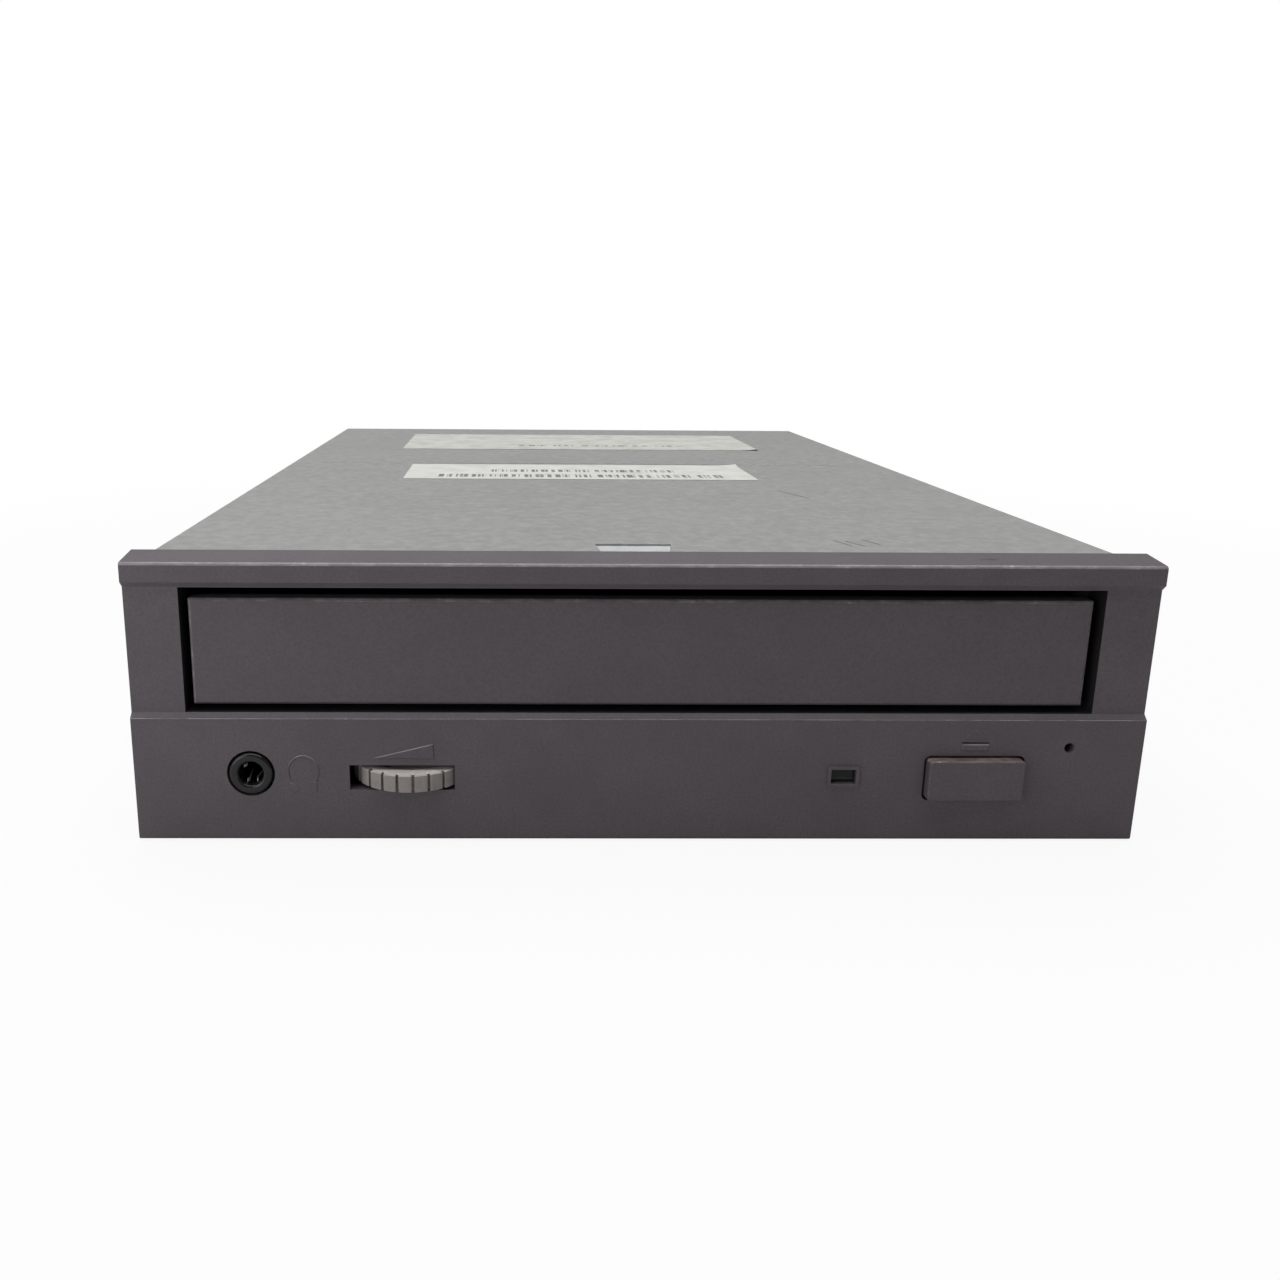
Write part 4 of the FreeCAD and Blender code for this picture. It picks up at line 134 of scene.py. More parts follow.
class Finish:
    """A material under construction: its surface shader and the nodes that feed it."""

    def __init__(self, name, **fixed):
        self.material = bpy.data.materials.new(name)
        self.material.use_nodes = True
        self.tree = self.material.node_tree
        self.tree.nodes.clear()
        self.shader = self.tree.nodes.new("ShaderNodeBsdfPrincipled")
        self.out = self.tree.nodes.new("ShaderNodeOutputMaterial")
        self.tree.links.new(self.shader.outputs[0], self.out.inputs[0])
        self.place = self.add("ShaderNodeTexCoord", {}, {}, "Object")
        for socket, value in fixed.items():
            self.shader.inputs[socket.replace("_", " ")].default_value = value

    def add(self, kind, settings, sockets, output=0):
        node = self.tree.nodes.new(kind)
        for name, value in settings.items():
            setattr(node, name, value)
        for key, value in sockets.items():
            if isinstance(value, Wire):
                self.tree.links.new(value.socket, node.inputs[key])
            else:
                node.inputs[key].default_value = value
        return Wire(self, node.outputs[output])

    def noise(self, size, detail=3.0, rough=0.55, stretch=(1, 1, 1)):
        place = self.place
        if stretch != (1, 1, 1):
            sockets = {0: place, 1: stretch}
            place = self.add("ShaderNodeVectorMath", {"operation": "MULTIPLY"}, sockets)
        values = {"Vector": place, "Scale": 1 / (size * MM), "Detail": detail, "Roughness": rough}
        return self.add("ShaderNodeTexNoise", {}, values)

    def cells(self, size, output="Distance", distance="EUCLIDEAN", scatter=1.0):
        values = {"Vector": self.place, "Scale": 1 / (size * MM), "Randomness": scatter}
        return self.add("ShaderNodeTexVoronoi", {"distance": distance}, values, output)

    def step(self, value, low, high, start=0.0, end=1.0):
        values = {"Value": value, "From Min": low, "From Max": high, "To Min": start, "To Max": end}
        return self.add("ShaderNodeMapRange", {"interpolation_type": "SMOOTHSTEP"}, values)

    def mix(self, share, first, second):
        return self.add("ShaderNodeMix", {"data_type": "RGBA"}, {0: share, 6: first, 7: second}, 2)

    def axis(self, letter):
        return self.add("ShaderNodeSeparateXYZ", {}, {0: self.place}, letter)

    def finish(self, colour, rough=None, height=None, depth=0.02, metal=None):
        for socket, value in (("Base Color", colour), ("Roughness", rough), ("Metallic", metal)):
            if isinstance(value, Wire):
                self.tree.links.new(value.socket, self.shader.inputs[socket])
            elif value is not None:
                self.shader.inputs[socket].default_value = value
        if height is not None:
            values = {"Height": height, "Distance": depth * MM, "Strength": 1.0}
            bump = self.add("ShaderNodeBump", {}, values)
            self.tree.links.new(bump.socket, self.shader.inputs["Normal"])
        return self.material


def shade(red, green, blue):
    """A colour given as it looks on a screen, 0 to 255, in the linear values of a socket."""
    parts = [part / 255 for part in (red, green, blue)]
    return (*[p / 12.92 if p < 0.04045 else ((p + 0.055) / 1.055) ** 2.4 for p in parts], 1.0)


def scaled(colour, factor):
    """A darker or lighter version of a colour."""
    return (*[min(1.0, part * factor) for part in colour[:3]], 1.0)


TABLE_HALF, TABLE_HEIGHT = 1.5, -0.0002
TABLE_GLOW, GLOW_NEAR, GLOW_FAR = 0.91, 0.13, 0.42
quad = bmesh.new()
quad.faces.new([quad.verts.new((x * TABLE_HALF, y * TABLE_HALF, 0)) for x, y in SQUARE])
table = new_piece("table_top", quad)
table.location.z = TABLE_HEIGHT
pale = Finish("pale_table", Roughness=0.9)
pale.finish(pale.mix(pale.noise(60), (0.55, 0.55, 0.55, 1), (0.58, 0.58, 0.575, 1)), 0.9)
spread = pale.add("ShaderNodeVectorMath", {"operation": "LENGTH"}, {0: pale.place}, "Value")
away = pale.step(spread, GLOW_NEAR, GLOW_FAR)
straight = pale.add("ShaderNodeLightPath", {}, {}, "Is Camera Ray")
glow = pale.add("ShaderNodeEmission", {}, {"Color": (1, 1, 1, 1), "Strength": 1.0})
lit = Wire(pale, pale.shader.outputs[0])
share = straight * (TABLE_GLOW + away * (1 - TABLE_GLOW))
surface = pale.add("ShaderNodeMixShader", {}, {0: share, 1: lit, 2: glow})
pale.tree.links.new(surface.socket, pale.out.inputs[0])
table.data.materials.append(pale.material)
table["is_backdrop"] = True

studio = bpy.data.worlds.new("studio")
scene.world = studio
studio.use_nodes = True
studio.node_tree.nodes.clear()
sky = build(
    studio.node_tree,
    {"rays": "ShaderNodeLightPath", "seen": "ShaderNodeMath", "soft": "ShaderNodeBackground",
     "white": "ShaderNodeBackground", "choice": "ShaderNodeMixShader",
     "result": "ShaderNodeOutputWorld"},
    (("seen", "operation", "MAXIMUM"),),
    (("rays", "Is Camera Ray", "seen", 0), ("rays", "Is Transmission Ray", "seen", 1),
     ("seen", 0, "choice", 0), ("soft", 0, "choice", 1), ("white", 0, "choice", 2),
     ("choice", 0, "result", 0)),
)
for name, colour, strength in (("soft", (0.97, 0.985, 1, 1), 0.15), ("white", (1, 1, 1, 1), 1)):
    sky[name].inputs[0].default_value = colour
    sky[name].inputs[1].default_value = strength


def lamp(name, place, aim, size, power):
    """A square soft box at a place in metres, turned to face a point."""
    light = bpy.data.lights.new(name, "AREA")
    light.size = size
    light.energy = power
    holder = place_object(name, light)
    holder.location = place
    holder.rotation_euler = (Vector(aim) - Vector(place)).to_track_quat("-Z", "Y").to_euler()


lamp("top_softbox", (-0.14, 0.22, 1.2), (-0.14, 0.22, 0), 1.7, 28.0)
lamp("left_softbox", (-0.27, -0.3, 0.1), (-0.02, -0.09, 0.02), 0.25, 0.5)


# Front bezel
# A frame of dark grey-violet plastic, clipped round the front of the case: a lip along the top,
# a recessed band round the tray and a lower part for the controls, with raised signs. The front
# edges of the lip and the ledge are rubbed pale; the walls of its openings are painted near
# black as painted shade.
MERGE, ON_PLANE = 2e-6, 1e-7
FLAT_ANGLE, SAME_WAY, MOSTLY = math.radians(0.4), 0.9999, 0.9


def groups(items, neighbours):
    """Sorts items into groups that hang together."""
    left, found = dict.fromkeys(items), []
    while left:
        waiting, group = [left.popitem()[0]], []
        while waiting:
            group.append(waiting.pop())
            for other in neighbours(group[-1]):
                if other in left:
                    del left[other]
                    waiting.append(other)
        found.append(group)
    return found


def opened(thing):
    """An editable copy of an object's mesh."""
    mesh = bmesh.new()
    mesh.from_mesh(thing.data)
    return mesh


def cad_mesh(node):
    """A CAD node's mesh with its doubled corners merged."""
    mesh = opened(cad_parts[node])
    bmesh.ops.remove_doubles(mesh, verts=mesh.verts, dist=MERGE)
    return mesh


def holes_of(mesh):
    """Where to cut through the holes in flat faces: places along X, Y and Z."""
    mesh.faces.ensure_lookup_table()
    cuts, done = (set(), set(), set()), set()
    for first in mesh.faces:
        normal = first.normal
        axis = max(range(3), key=lambda k: abs(normal[k]))
        if first.index in done or abs(normal[axis]) < MOSTLY:
            continue
        done.add(first.index)
        waiting, region = [first], set()
        while waiting:
            face = waiting.pop()
            region.add(face)
            for other in {near for edge in face.edges for near in edge.link_faces}:
                if other.index not in done and other.normal.dot(normal) > SAME_WAY:
                    done.add(other.index)
                    waiting.append(other)
        rim = {}
        for edge in {edge for face in region for edge in face.edges}:
            if sum(face in region for face in edge.link_faces) == 1:
                for vert in edge.verts:
                    rim.setdefault(vert, []).append(edge)
        loops = []
        for loop in groups(rim, lambda vert: [edge.other_vert(vert) for edge in rim[vert]]):
            loops.append([[pick(vert.co[k] for vert in loop) for pick in (min, max)]
                          for k in range(3)])
        loops.sort(key=lambda spans: sum(high - low for low, high in spans))
        sides = [k for k in range(3) if k != axis]
        middles = [{round(sum(loop[k]) / 2, 5) for loop in loops[:-1]} for k in sides]
        fewest = 0 if len(middles[0]) <= len(middles[1]) else 1
        cuts[sides[fewest]].update(middles[fewest])
    return cuts


def spare_copy(node, name, xs=(), zs=()):
    """A clean copy of a CAD node's mesh, cut through its holes and at extra places."""
    mesh = cad_mesh(node)
    cuts = holes_of(mesh)
    cuts[0].update(place * MM for place in xs)
    cuts[2].update(place * MM for place in zs)
    limits = {"angle_limit": FLAT_ANGLE, "verts": mesh.verts, "edges": mesh.edges}
    bmesh.ops.dissolve_limit(mesh, **limits)
    bmesh.ops.triangulate(mesh, faces=mesh.faces)
    for axis, places in enumerate(cuts):
        normal = Vector([float(k == axis) for k in range(3)])
        for place in sorted(places):
            everything = mesh.verts[:] + mesh.edges[:] + mesh.faces[:]
            cut = bmesh.ops.bisect_plane(
                mesh, geom=everything, dist=ON_PLANE, plane_co=normal * place, plane_no=normal)
            for item in cut["geom_cut"]:
                if isinstance(item, bmesh.types.BMEdge):
                    item.seam = True
    bmesh.ops.dissolve_limit(mesh, delimit={"SEAM"}, **limits)
    return new_piece(name, mesh)


def settle(piece):
    """Turns a piece's modifiers into plain mesh."""
    bpy.context.view_layer.update()
    graph = bpy.context.evaluated_depsgraph_get()
    made = bpy.data.meshes.new_from_object(piece.evaluated_get(graph))
    piece.modifiers.clear()
    piece.data = made
    return piece


WIDTH_SHARES, FOLD_LIMIT = (1, 0.6, 0.35, 0.2), 0.3


def round_edges(piece, width, steps=2, angle=30, worn=0):
    """Rounds the sharp edges, less where they fold; the strips take the slot given as worn."""
    plain = piece.data
    for share in WIDTH_SHARES:
        piece.data = plain
        bevel = piece.modifiers.new("edges", "BEVEL")
        bevel.width = width * share * MM
        bevel.segments = steps
        bevel.limit_method = "ANGLE"
        bevel.angle_limit = math.radians(angle)
        bevel.use_clamp_overlap = False
        bevel.material = worn
        settle(piece)
        if folded(piece) < FOLD_LIMIT:
            break
    return smooth(piece)


def folded(piece):
    """The area in square millimetres of faces that fold over themselves."""
    mesh = piece.data
    mesh.calc_loop_triangles()
    return sum(part.area for part in mesh.loop_triangles
               if part.normal.dot(mesh.polygons[part.polygon_index].normal) < 0) / MM ** 2


def smooth(piece, angle=32):
    """Shades rounded strips smoothly and keeps broad flat faces flat."""
    piece.data.shade_smooth()
    piece.data.set_sharp_from_angle(angle=math.radians(angle))
    weigh = piece.modifiers.new("flats", "WEIGHTED_NORMAL")
    weigh.mode = "FACE_AREA"
    weigh.weight = 100
    weigh.keep_sharp = True
    return settle(piece)


def dress(piece, *materials):
    piece.data.materials.clear()
    for material in materials:
        piece.data.materials.append(material)
    for face in piece.data.polygons:
        face.material_index = 0
    return piece


def paint(piece, slot, where):
    """Gives a material slot to the faces that where(x, depth, z, normal) chooses."""
    for face in piece.data.polygons:
        middle = face.center
        if where(middle.x / MM, (middle.y - FRONT) / MM, middle.z / MM, face.normal):
            face.material_index = slot


def fit(piece, body, node):
    """Puts a finished piece in a node's place, on that node's body."""
    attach(piece, body)
    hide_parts(node)


def join(piece, others):
    """Adds other meshes to a piece's own, with their materials."""
    mesh = opened(piece)
    for other in others:
        before = len(mesh.faces)
        mesh.from_mesh(other.data)
        mesh.faces.ensure_lookup_table()
        for face in mesh.faces[before:]:
            material = other.data.materials[face.material_index]
            if material.name not in piece.data.materials:
                piece.data.materials.append(material)
            face.material_index = piece.data.materials.find(material.name)
        bpy.data.objects.remove(other)
    mesh.to_mesh(piece.data)
    mesh.free()
    return smooth(piece)


def push(mesh, faces, distance):
    """Extrudes faces of a mesh along Y by a distance in millimetres."""
    grown = bmesh.ops.extrude_face_region(mesh, geom=faces)
    moved = [item for item in grown["geom"] if isinstance(item, bmesh.types.BMVert)]
    bmesh.ops.translate(mesh, verts=moved, vec=(0, distance * MM, 0))


def prism(name, outline, low, high):
    """A flat shape on the front face, from outline points (x, z), between two depths."""
    mesh = bmesh.new()
    back = FRONT + high * MM
    push(mesh, [mesh.faces.new([mesh.verts.new((x * MM, back, z * MM)) for x, z in outline])],
         low - high)
    bmesh.ops.recalc_face_normals(mesh, faces=mesh.faces)
    return new_piece(name, mesh)


def headings(points):
    """Each point of a line as a vector, with the direction of the line there."""
    for i, point in enumerate(points):
        along = Vector(points[min(i + 1, len(points) - 1)]) - Vector(points[max(i - 1, 0)])
        yield Vector(point), along.normalized()


def line_outline(points, width):
    """The outline of a line of given width through the points."""
    left, right = [], []
    for here, along in headings(points):
        aside = Vector((-along.y, along.x)) * width / 2
        left.append(tuple(here + aside))
        right.append(tuple(here - aside))
    return left + right[::-1]


def press_in(piece, x_span, z_span, depth):
    """Sinks the patch of the front face that lies between two pairs of cuts."""
    mesh = opened(piece)
    patch = []
    for face in mesh.faces:
        at = face.calc_center_median()
        inside = x_span[0] < at.x / MM < x_span[1] and z_span[0] < at.z / MM < z_span[1]
        if inside and face.normal.y < -0.99 and at.y < FRONT + 0.02 * MM:
            patch.append(face)
    push(mesh, patch, depth)
    left = [face for face in patch if face.is_valid]
    if left:
        bmesh.ops.delete(mesh, geom=left, context="FACES")
    mesh.to_mesh(piece.data)
    mesh.free()


def moulded(name, colour, tint, marks=()):
    """Moulded plastic with a fine grain; marks are dark scratches (x, x, depth, depth)."""
    make, colour, tint = Finish(name), shade(*colour), shade(*tint)
    cloud = make.noise(9, 4)
    speck = make.noise(0.35, 2, 0.6)
    body = make.mix(make.step(cloud, 0.3, 0.7), colour, tint)
    body = make.mix(make.step(speck, 0.4, 0.65, 0.0, 0.5), body, scaled(colour, 0.74))
    fleck = make.step(make.noise(0.49, 2, 0.5), 0.62, 0.72)
    body = make.mix(fleck * 0.4, body, scaled(colour, 1.35))
    for left, right, low, high in marks:
        x, back = make.axis("X"), make.axis("Y")
        near, far = FRONT + low * MM, FRONT + high * MM
        strip = (x > left * MM) * (x < right * MM) * make.step(back, near, near + 0.1 * MM)
        strip = strip * make.step(back, far, far - 0.1 * MM)
        body = make.mix(strip * 0.85, body, (0.008, 0.008, 0.008, 1))
    greasy = make.step(make.noise(5, 5, 0.7), 0.58, 0.72)
    gloss = 0.5 + make.noise(2.5, 3) * 0.12 - greasy * 0.08
    return make.finish(body, gloss, speck + make.noise(0.77, 2) * 0.6, 0.012)


def rubbed_and_lit_pale(name, colour, worn, share):
    """The same plastic paler: rubbed pale where worn, and as painted light where faces catch the
    lamp.
    """
    make, colour, worn = Finish(name), shade(*colour), shade(*worn)
    where = make.step(make.noise(1.3, 5, 0.75, (0.4, 1, 1)), 0.68 - share * 0.35, 0.66)
    chip = make.step(make.noise(0.45, 3, 0.6, (0.5, 1, 1)), 0.6, 0.68)
    speck = make.noise(0.3, 2)
    body = make.mix(where * 0.7, colour, worn)
    body = make.mix(chip * where, body, scaled(worn, 1.5))
    return make.finish(body, 0.45 + speck * 0.12, speck, 0.01)


SCRATCHES = ((48.1, 50.6, 2.5, 2.9), (49.6, 51.2, 2.9, 3.2))
bezel_plastic = moulded("bezel_plastic", (76, 69, 74), (81, 74, 79), marks=SCRATCHES)
ledge_edge = rubbed_and_lit_pale("ledge_edge", (96, 90, 94), (172, 166, 169), 1.0)
bezel_edge = rubbed_and_lit_pale("bezel_edge", (112, 106, 110), (140, 134, 137), 0.75)
# Painted shade: a near-black copy of the bezel plastic for the walls inside its openings.
painted_shade_wall = moulded("painted_shade_wall", (22, 20, 22), (26, 24, 26))
sign_edge = rubbed_and_lit_pale("sign_edge", (100, 93, 97), (132, 126, 129), 0.8)

BAR_X, BAR_TOP, BAR_SUNK = (47.2, 51.2), (15.32, 15.6), 0.35
LIP_EDGE, LEDGE_LOW, LEDGE_HIGH = 41.2, 18.6, 19.3
OPENING_X, OPENING_LOW, OPENING_HIGH, OPENING_FRONT = 66.2, 19.65, 38.35, 0.84
HOLE_LEFT, HOLE_RIGHT, HOLE_LOW, HOLE_HIGH = 41.8, 56.9, 6.4, 13.46
bezel = spare_copy("front_bezel", "bezel", BAR_X + (-OPENING_X, OPENING_X), BAR_TOP)
dress(bezel, bezel_plastic, bezel_edge, ledge_edge, painted_shade_wall)
round_edges(bezel, 0.18)
paint(bezel, 1, lambda x, d, z, n: z > LIP_EDGE and d < 0.45 and 0.2 < n.z < 0.97)
paint(bezel, 2, lambda x, d, z, n:
      LEDGE_LOW < z < LEDGE_HIGH and d < 0.3 and n.z > 0.1 and n.y < -0.05)
# The walls of the tray opening and of the button's hole get the painted shade.
paint(bezel, 3, lambda x, d, z, n:
      abs(x) < OPENING_X + 0.05 and OPENING_LOW < z < OPENING_HIGH and d > OPENING_FRONT)
paint(bezel, 3, lambda x, d, z, n:
      HOLE_LEFT < x < HOLE_RIGHT and HOLE_LOW < z < HOLE_HIGH and d > 0.15)
press_in(bezel, BAR_X, BAR_TOP, BAR_SUNK)

ARCH_X, ARCH_Z, ARCH_WIDE, ARCH_HIGH = -49.33, 10.85, 2.22, 2.42
turns = [math.radians(-40 + 260 * i / 28) for i in range(29)]
arch = [(ARCH_X + ARCH_WIDE * math.cos(t), ARCH_Z + ARCH_HIGH * math.sin(t)) for t in turns]
signs = {
    "arch": (line_outline(arch, 0.24), 0.12, 0.09),
    "left_pad": ([(-51.45, 8.95), (-51, 9.2), (-50.05, 8), (-50.45, 7.6), (-51, 7.75)], 0.1, 0.08),
    "right_pad": ([(-47.95, 9.2), (-47.35, 9.05), (-47.4, 7.6), (-48.1, 7.65), (-48.35, 8.2)],
                  0.1, 0.08),
    "wedge": ([(-39.25, 12.95), (-30.15, 12.8), (-30.3, 15.2)], 0.16, 0.13),
    "bar": ([(47.2, 14.25), (51.2, 14.25), (51.2, 15.28), (47.2, 15.28)], 0.16, 0.13),
    "triangle": ([(47.45, 16.05), (50.95, 16.05), (49.2, 17.95)], 0.05, 0.05),
}
raised = []
for name, (outline, proud, slope) in signs.items():
    sign = dress(prism(name, outline, -proud, 0.1), bezel_plastic, sign_edge)
    round_edges(sign, slope, 1)
    if name != "triangle":
        paint(sign, 1, lambda x, d, z, n: n.z > 0.3 and abs(n.y) > 0.3)
    raised.append(sign)
join(bezel, raised)
fit(bezel, "chassis", "front_bezel")


# Tray front
# A plate of the same plastic on the end of the tray. It fills the opening but for a thin dark
# gap, and the corner of its face is rubbed pale all round.
tray_plate = spare_copy("tray_front", "tray_plate")
tray_plastic = moulded("tray_plate_plastic", (75, 68, 73), (78, 71, 76))
tray_edge = rubbed_and_lit_pale("tray_plate_edge", (96, 90, 92), (130, 124, 125), 0.8)
dress(tray_plate, tray_plastic, tray_edge)
round_edges(tray_plate, 0.12)
paint(tray_plate, 1, lambda x, d, z, n:
      d < 1.7 and abs(n.y) < 0.95 and (n.z > 0.3 or abs(n.x) > 0.3))
fit(tray_plate, "tray", "tray_front")


# Eject button
# A cap of the bezel's plastic with rounded corners, worn brownish along the top where the
# thumb lands; that strip is also painted paler as painted light. It slides in its hole on a skirt
# and presses a switch behind.
button = spare_copy("eject_button", "button")
# The top strip's finish is brownish wear and also paler as painted light.
dress(button, bezel_plastic, rubbed_and_lit_pale("button_top_worn_and_lit", (92, 80, 78), (140, 126, 122), 0.85))
round_edges(button, 0.12, angle=40)
# The upward faces along the top get the worn and painted-light finish.
paint(button, 1, lambda x, d, z, n: n.z > 0.35 and z > 12.4)
fit(button, "eject", "eject_button")


# Volume wheel
# A flat thumb wheel of light grey plastic behind a slot. Its rim has 24 broad flat ribs with
# narrow grooves between them; it turns a small potentiometer below.
def set_of_copies(name, model, places, material):
    """Copies of a small model, one at each place: (point in metres, turn in radians)."""
    tree = bpy.data.node_groups.new("set_of_copies", "GeometryNodeTree")
    face = tree.interface
    face.new_socket("Places", in_out="INPUT", socket_type="NodeSocketGeometry")
    model_socket = face.new_socket("Model", in_out="INPUT", socket_type="NodeSocketObject")
    face.new_socket("Copies", in_out="OUTPUT", socket_type="NodeSocketGeometry")
    made = build(
        tree,
        {"source": "NodeGroupInput", "shape": "GeometryNodeObjectInfo",
         "turn": "GeometryNodeInputNamedAttribute", "stand": "GeometryNodeInstanceOnPoints",
         "real": "GeometryNodeRealizeInstances", "cover": "GeometryNodeSetMaterial",
         "result": "NodeGroupOutput"},
        (("turn", "data_type", "FLOAT_VECTOR"),),
        (("source", "Places", "stand", "Points"), ("source", "Model", "shape", "Object"),
         ("shape", "Geometry", "stand", "Instance"), ("turn", 0, "stand", "Rotation"),
         ("stand", 0, "real", 0), ("real", 0, "cover", "Geometry"), ("cover", 0, "result", 0)),
    )
    made["turn"].inputs["Name"].default_value = "turn"
    made["cover"].inputs["Material"].default_value = material
    data = bpy.data.meshes.new(name)
    data.from_pydata([point for point, _ in places], [], [])
    turns = data.attributes.new("turn", "FLOAT_VECTOR", "POINT")
    for item, (_, angles) in zip(turns.data, places):
        item.vector = angles
    piece = place_object(name, data)
    copies = piece.modifiers.new("copies", "NODES")
    copies.node_group = tree
    copies[model_socket.identifier] = model
    settle(piece)
    bpy.data.objects.remove(model)
    return smooth(piece, 40)


def tube(name, rows, ring=False):
    """Skins rows of corner points in millimetres; a ring joins its last row to its first."""
    mesh = bmesh.new()
    rows = [[mesh.verts.new(Vector(point) * MM) for point in row] for row in rows]
    if ring:
        rows.append(rows[0])
    else:
        mesh.faces.new(rows[0][::-1])
        mesh.faces.new(rows[-1])
    for first, second in zip(rows, rows[1:]):
        for k in range(len(first)):
            mesh.faces.new((first[k - 1], first[k], second[k], second[k - 1]))
    bmesh.ops.recalc_face_normals(mesh, faces=mesh.faces)
    return new_piece(name, mesh)


def lathe(name, profile, centre, steps=72):
    """A turned solid about a vertical axis, from closed profile points (radius, z)."""
    turns = [math.tau * i / steps for i in range(steps)]
    middle = FRONT / MM + centre[1]
    return tube(name, [[(centre[0] + r * math.cos(turn), middle + r * math.sin(turn), z)
                        for r, z in profile] for turn in turns], ring=True)


low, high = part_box("volume_wheel")
middle = (low + high) / 2
WHEEL_X, WHEEL_DEPTH = middle.x / MM, (middle.y - FRONT) / MM
WHEEL_RADIUS = (high.x - low.x) / 2 / MM
WHEEL_LOW, WHEEL_HIGH = low.z / MM, high.z / MM
RIB_COUNT, RIB_HEIGHT, RIB_LOW, RIB_ROOT, RIB_SHARE = 24, 0.7, 8.45, -0.35, 0.84
FIRST_RIB = math.radians(-92.6)
HUB_RADIUS, BORE_RADIUS, STEP_HEIGHT = 2.6, 1.1, 8.6
wheel_finish = Finish("wheel_plastic")
dust = wheel_finish.step(wheel_finish.noise(1.1, 4, 0.7), 0.45, 0.72)
grain = wheel_finish.noise(0.25, 2)
tone = wheel_finish.mix(wheel_finish.noise(4, 3), shade(126, 119, 115), shade(137, 130, 126))
tone = wheel_finish.mix(dust * 0.5, tone, shade(104, 97, 92))
wheel_plastic = wheel_finish.finish(tone, 0.48 + grain * 0.14, grain, 0.01)
# Painted light: a much paler copy of the wheel plastic for its upward faces, as if light falls on
# them.
wheel_top_painted_light = rubbed_and_lit_pale("wheel_top_painted_light", (200, 192, 187), (214, 208, 203), 0.6)
wheel_edge = rubbed_and_lit_pale("wheel_edge", (160, 153, 148), (196, 190, 185), 0.8)
inner = WHEEL_RADIUS - RIB_HEIGHT
dished = WHEEL_HIGH - 0.35
wheel = lathe("wheel", [
    (HUB_RADIUS, WHEEL_LOW), (HUB_RADIUS, STEP_HEIGHT), (inner, STEP_HEIGHT),
    (inner, WHEEL_HIGH - 0.12), (inner - 0.25, WHEEL_HIGH), (inner - 1.6, WHEEL_HIGH),
    (inner - 1.9, dished), (BORE_RADIUS, dished), (BORE_RADIUS, WHEEL_LOW),
], (WHEEL_X, WHEEL_DEPTH))
dress(wheel, wheel_plastic, wheel_top_painted_light)
# The wheel's upward faces get the painted light.
paint(wheel, 1, lambda x, d, z, n: n.z > 0.9)
rib_span = math.tau * (WHEEL_RADIUS - 0.05) / RIB_COUNT
rib_turns = [(i / 6 - 0.5) * (rib_span * RIB_SHARE) / WHEEL_RADIUS for i in range(7)]
section = [(WHEEL_RADIUS * math.cos(t) - inner, WHEEL_RADIUS * math.sin(t)) for t in rib_turns]
section += [(RIB_ROOT, rib_span * 0.36), (RIB_ROOT, -rib_span * 0.36)]
rib = tube("rib", [[(x, y, z) for x, y in section] for z in (RIB_LOW, WHEEL_HIGH)])
dress(rib, wheel_plastic)
round_edges(rib, 0.11, angle=50)
middle.z = 0
rib_places = []
for i in range(RIB_COUNT):
    turn = FIRST_RIB + math.tau * i / RIB_COUNT
    out = Vector((math.cos(turn), math.sin(turn), 0)) * inner * MM
    rib_places.append((middle + out, (0, 0, turn)))
ribs = set_of_copies("ribs", rib, rib_places, wheel_plastic)
for material in (wheel_edge, wheel_top_painted_light):
    ribs.data.materials.append(material)
# The flat tops of the ribs get the painted light.
paint(ribs, 2, lambda x, d, z, n: n.z > 0.97)
paint(ribs, 1, lambda x, d, z, n: 0.12 < n.z < 0.97)
join(wheel, [ribs])
fit(wheel, "volume", "volume_wheel")


# Headphone socket
# A black block behind the bezel with a glossy collar that shows through it. The collar's lip
# is rounded and polished; spring contacts of bright bronze glint in its bore.
JACK_X, JACK_Z, COLLAR_ROUND = -57.0, 10.5, 0.5


def bent_strip(name, points, half_width, thick, material):
    """A spring contact: a strip bent along points (x, depth, z), its width running along Z."""
    rows = []
    for here, along in headings(points):
        aside = along.cross(Vector((0, 0, 1))).normalized() * thick / 2
        here.y += FRONT / MM
        rows.append([here + aside * side + Vector((0, 0, half_width * up)) for side, up in SQUARE])
    return dress(smooth(tube(name, rows)), material)


polish = Finish("jack_black", Specular_IOR_Level=0.35)
rubs = polish.step(polish.noise(0.8, 4, 0.7), 0.56, 0.72)
jack_black = polish.finish(
    polish.mix(rubs * 0.25, (0.01, 0.01, 0.011, 1), shade(48, 48, 50)),
    0.13 + rubs * 0.2 + polish.noise(0.3, 2) * 0.05, polish.noise(0.5, 3), 0.003,
)
spring = Finish("contact_spring", Metallic=0.5)
tarnish = spring.noise(0.6, 4)
tone = spring.mix(tarnish, shade(250, 246, 236), shade(232, 224, 206))
contact_spring = spring.finish(tone, 0.2 + tarnish * 0.2, tarnish, 0.003)
jack = spare_copy("headphone_jack", "jack")
dress(jack, jack_black)
rim = opened(jack)
lip = [
    edge for edge in rim.edges
    if all(vert.co.y < FRONT + 0.05 * MM for vert in edge.verts) and not edge.seam
    and len(edge.link_faces) == 2 and edge.calc_face_angle(0) > 0.6
]
bmesh.ops.bevel(
    rim, geom=lip, offset=COLLAR_ROUND * MM, segments=5, profile=0.5, affect="EDGES")
rim.to_mesh(jack.data)
rim.free()
smooth(jack, 40)
springs = []
for i, (x, z) in enumerate(((-1.2, 0.9), (-0.75, -1.35), (0.85, -1.3))):
    bends = ((1.05, 4.4), (0.85, 2.6), (0.7, 1.3), (0.9, 0.7))
    strip = [(JACK_X + x * out, depth, JACK_Z + z) for out, depth in bends]
    springs.append(bent_strip(f"spring_{i}", strip, 0.22, 0.12, contact_spring))
join(jack, springs)
fit(jack, "chassis", "headphone_jack")
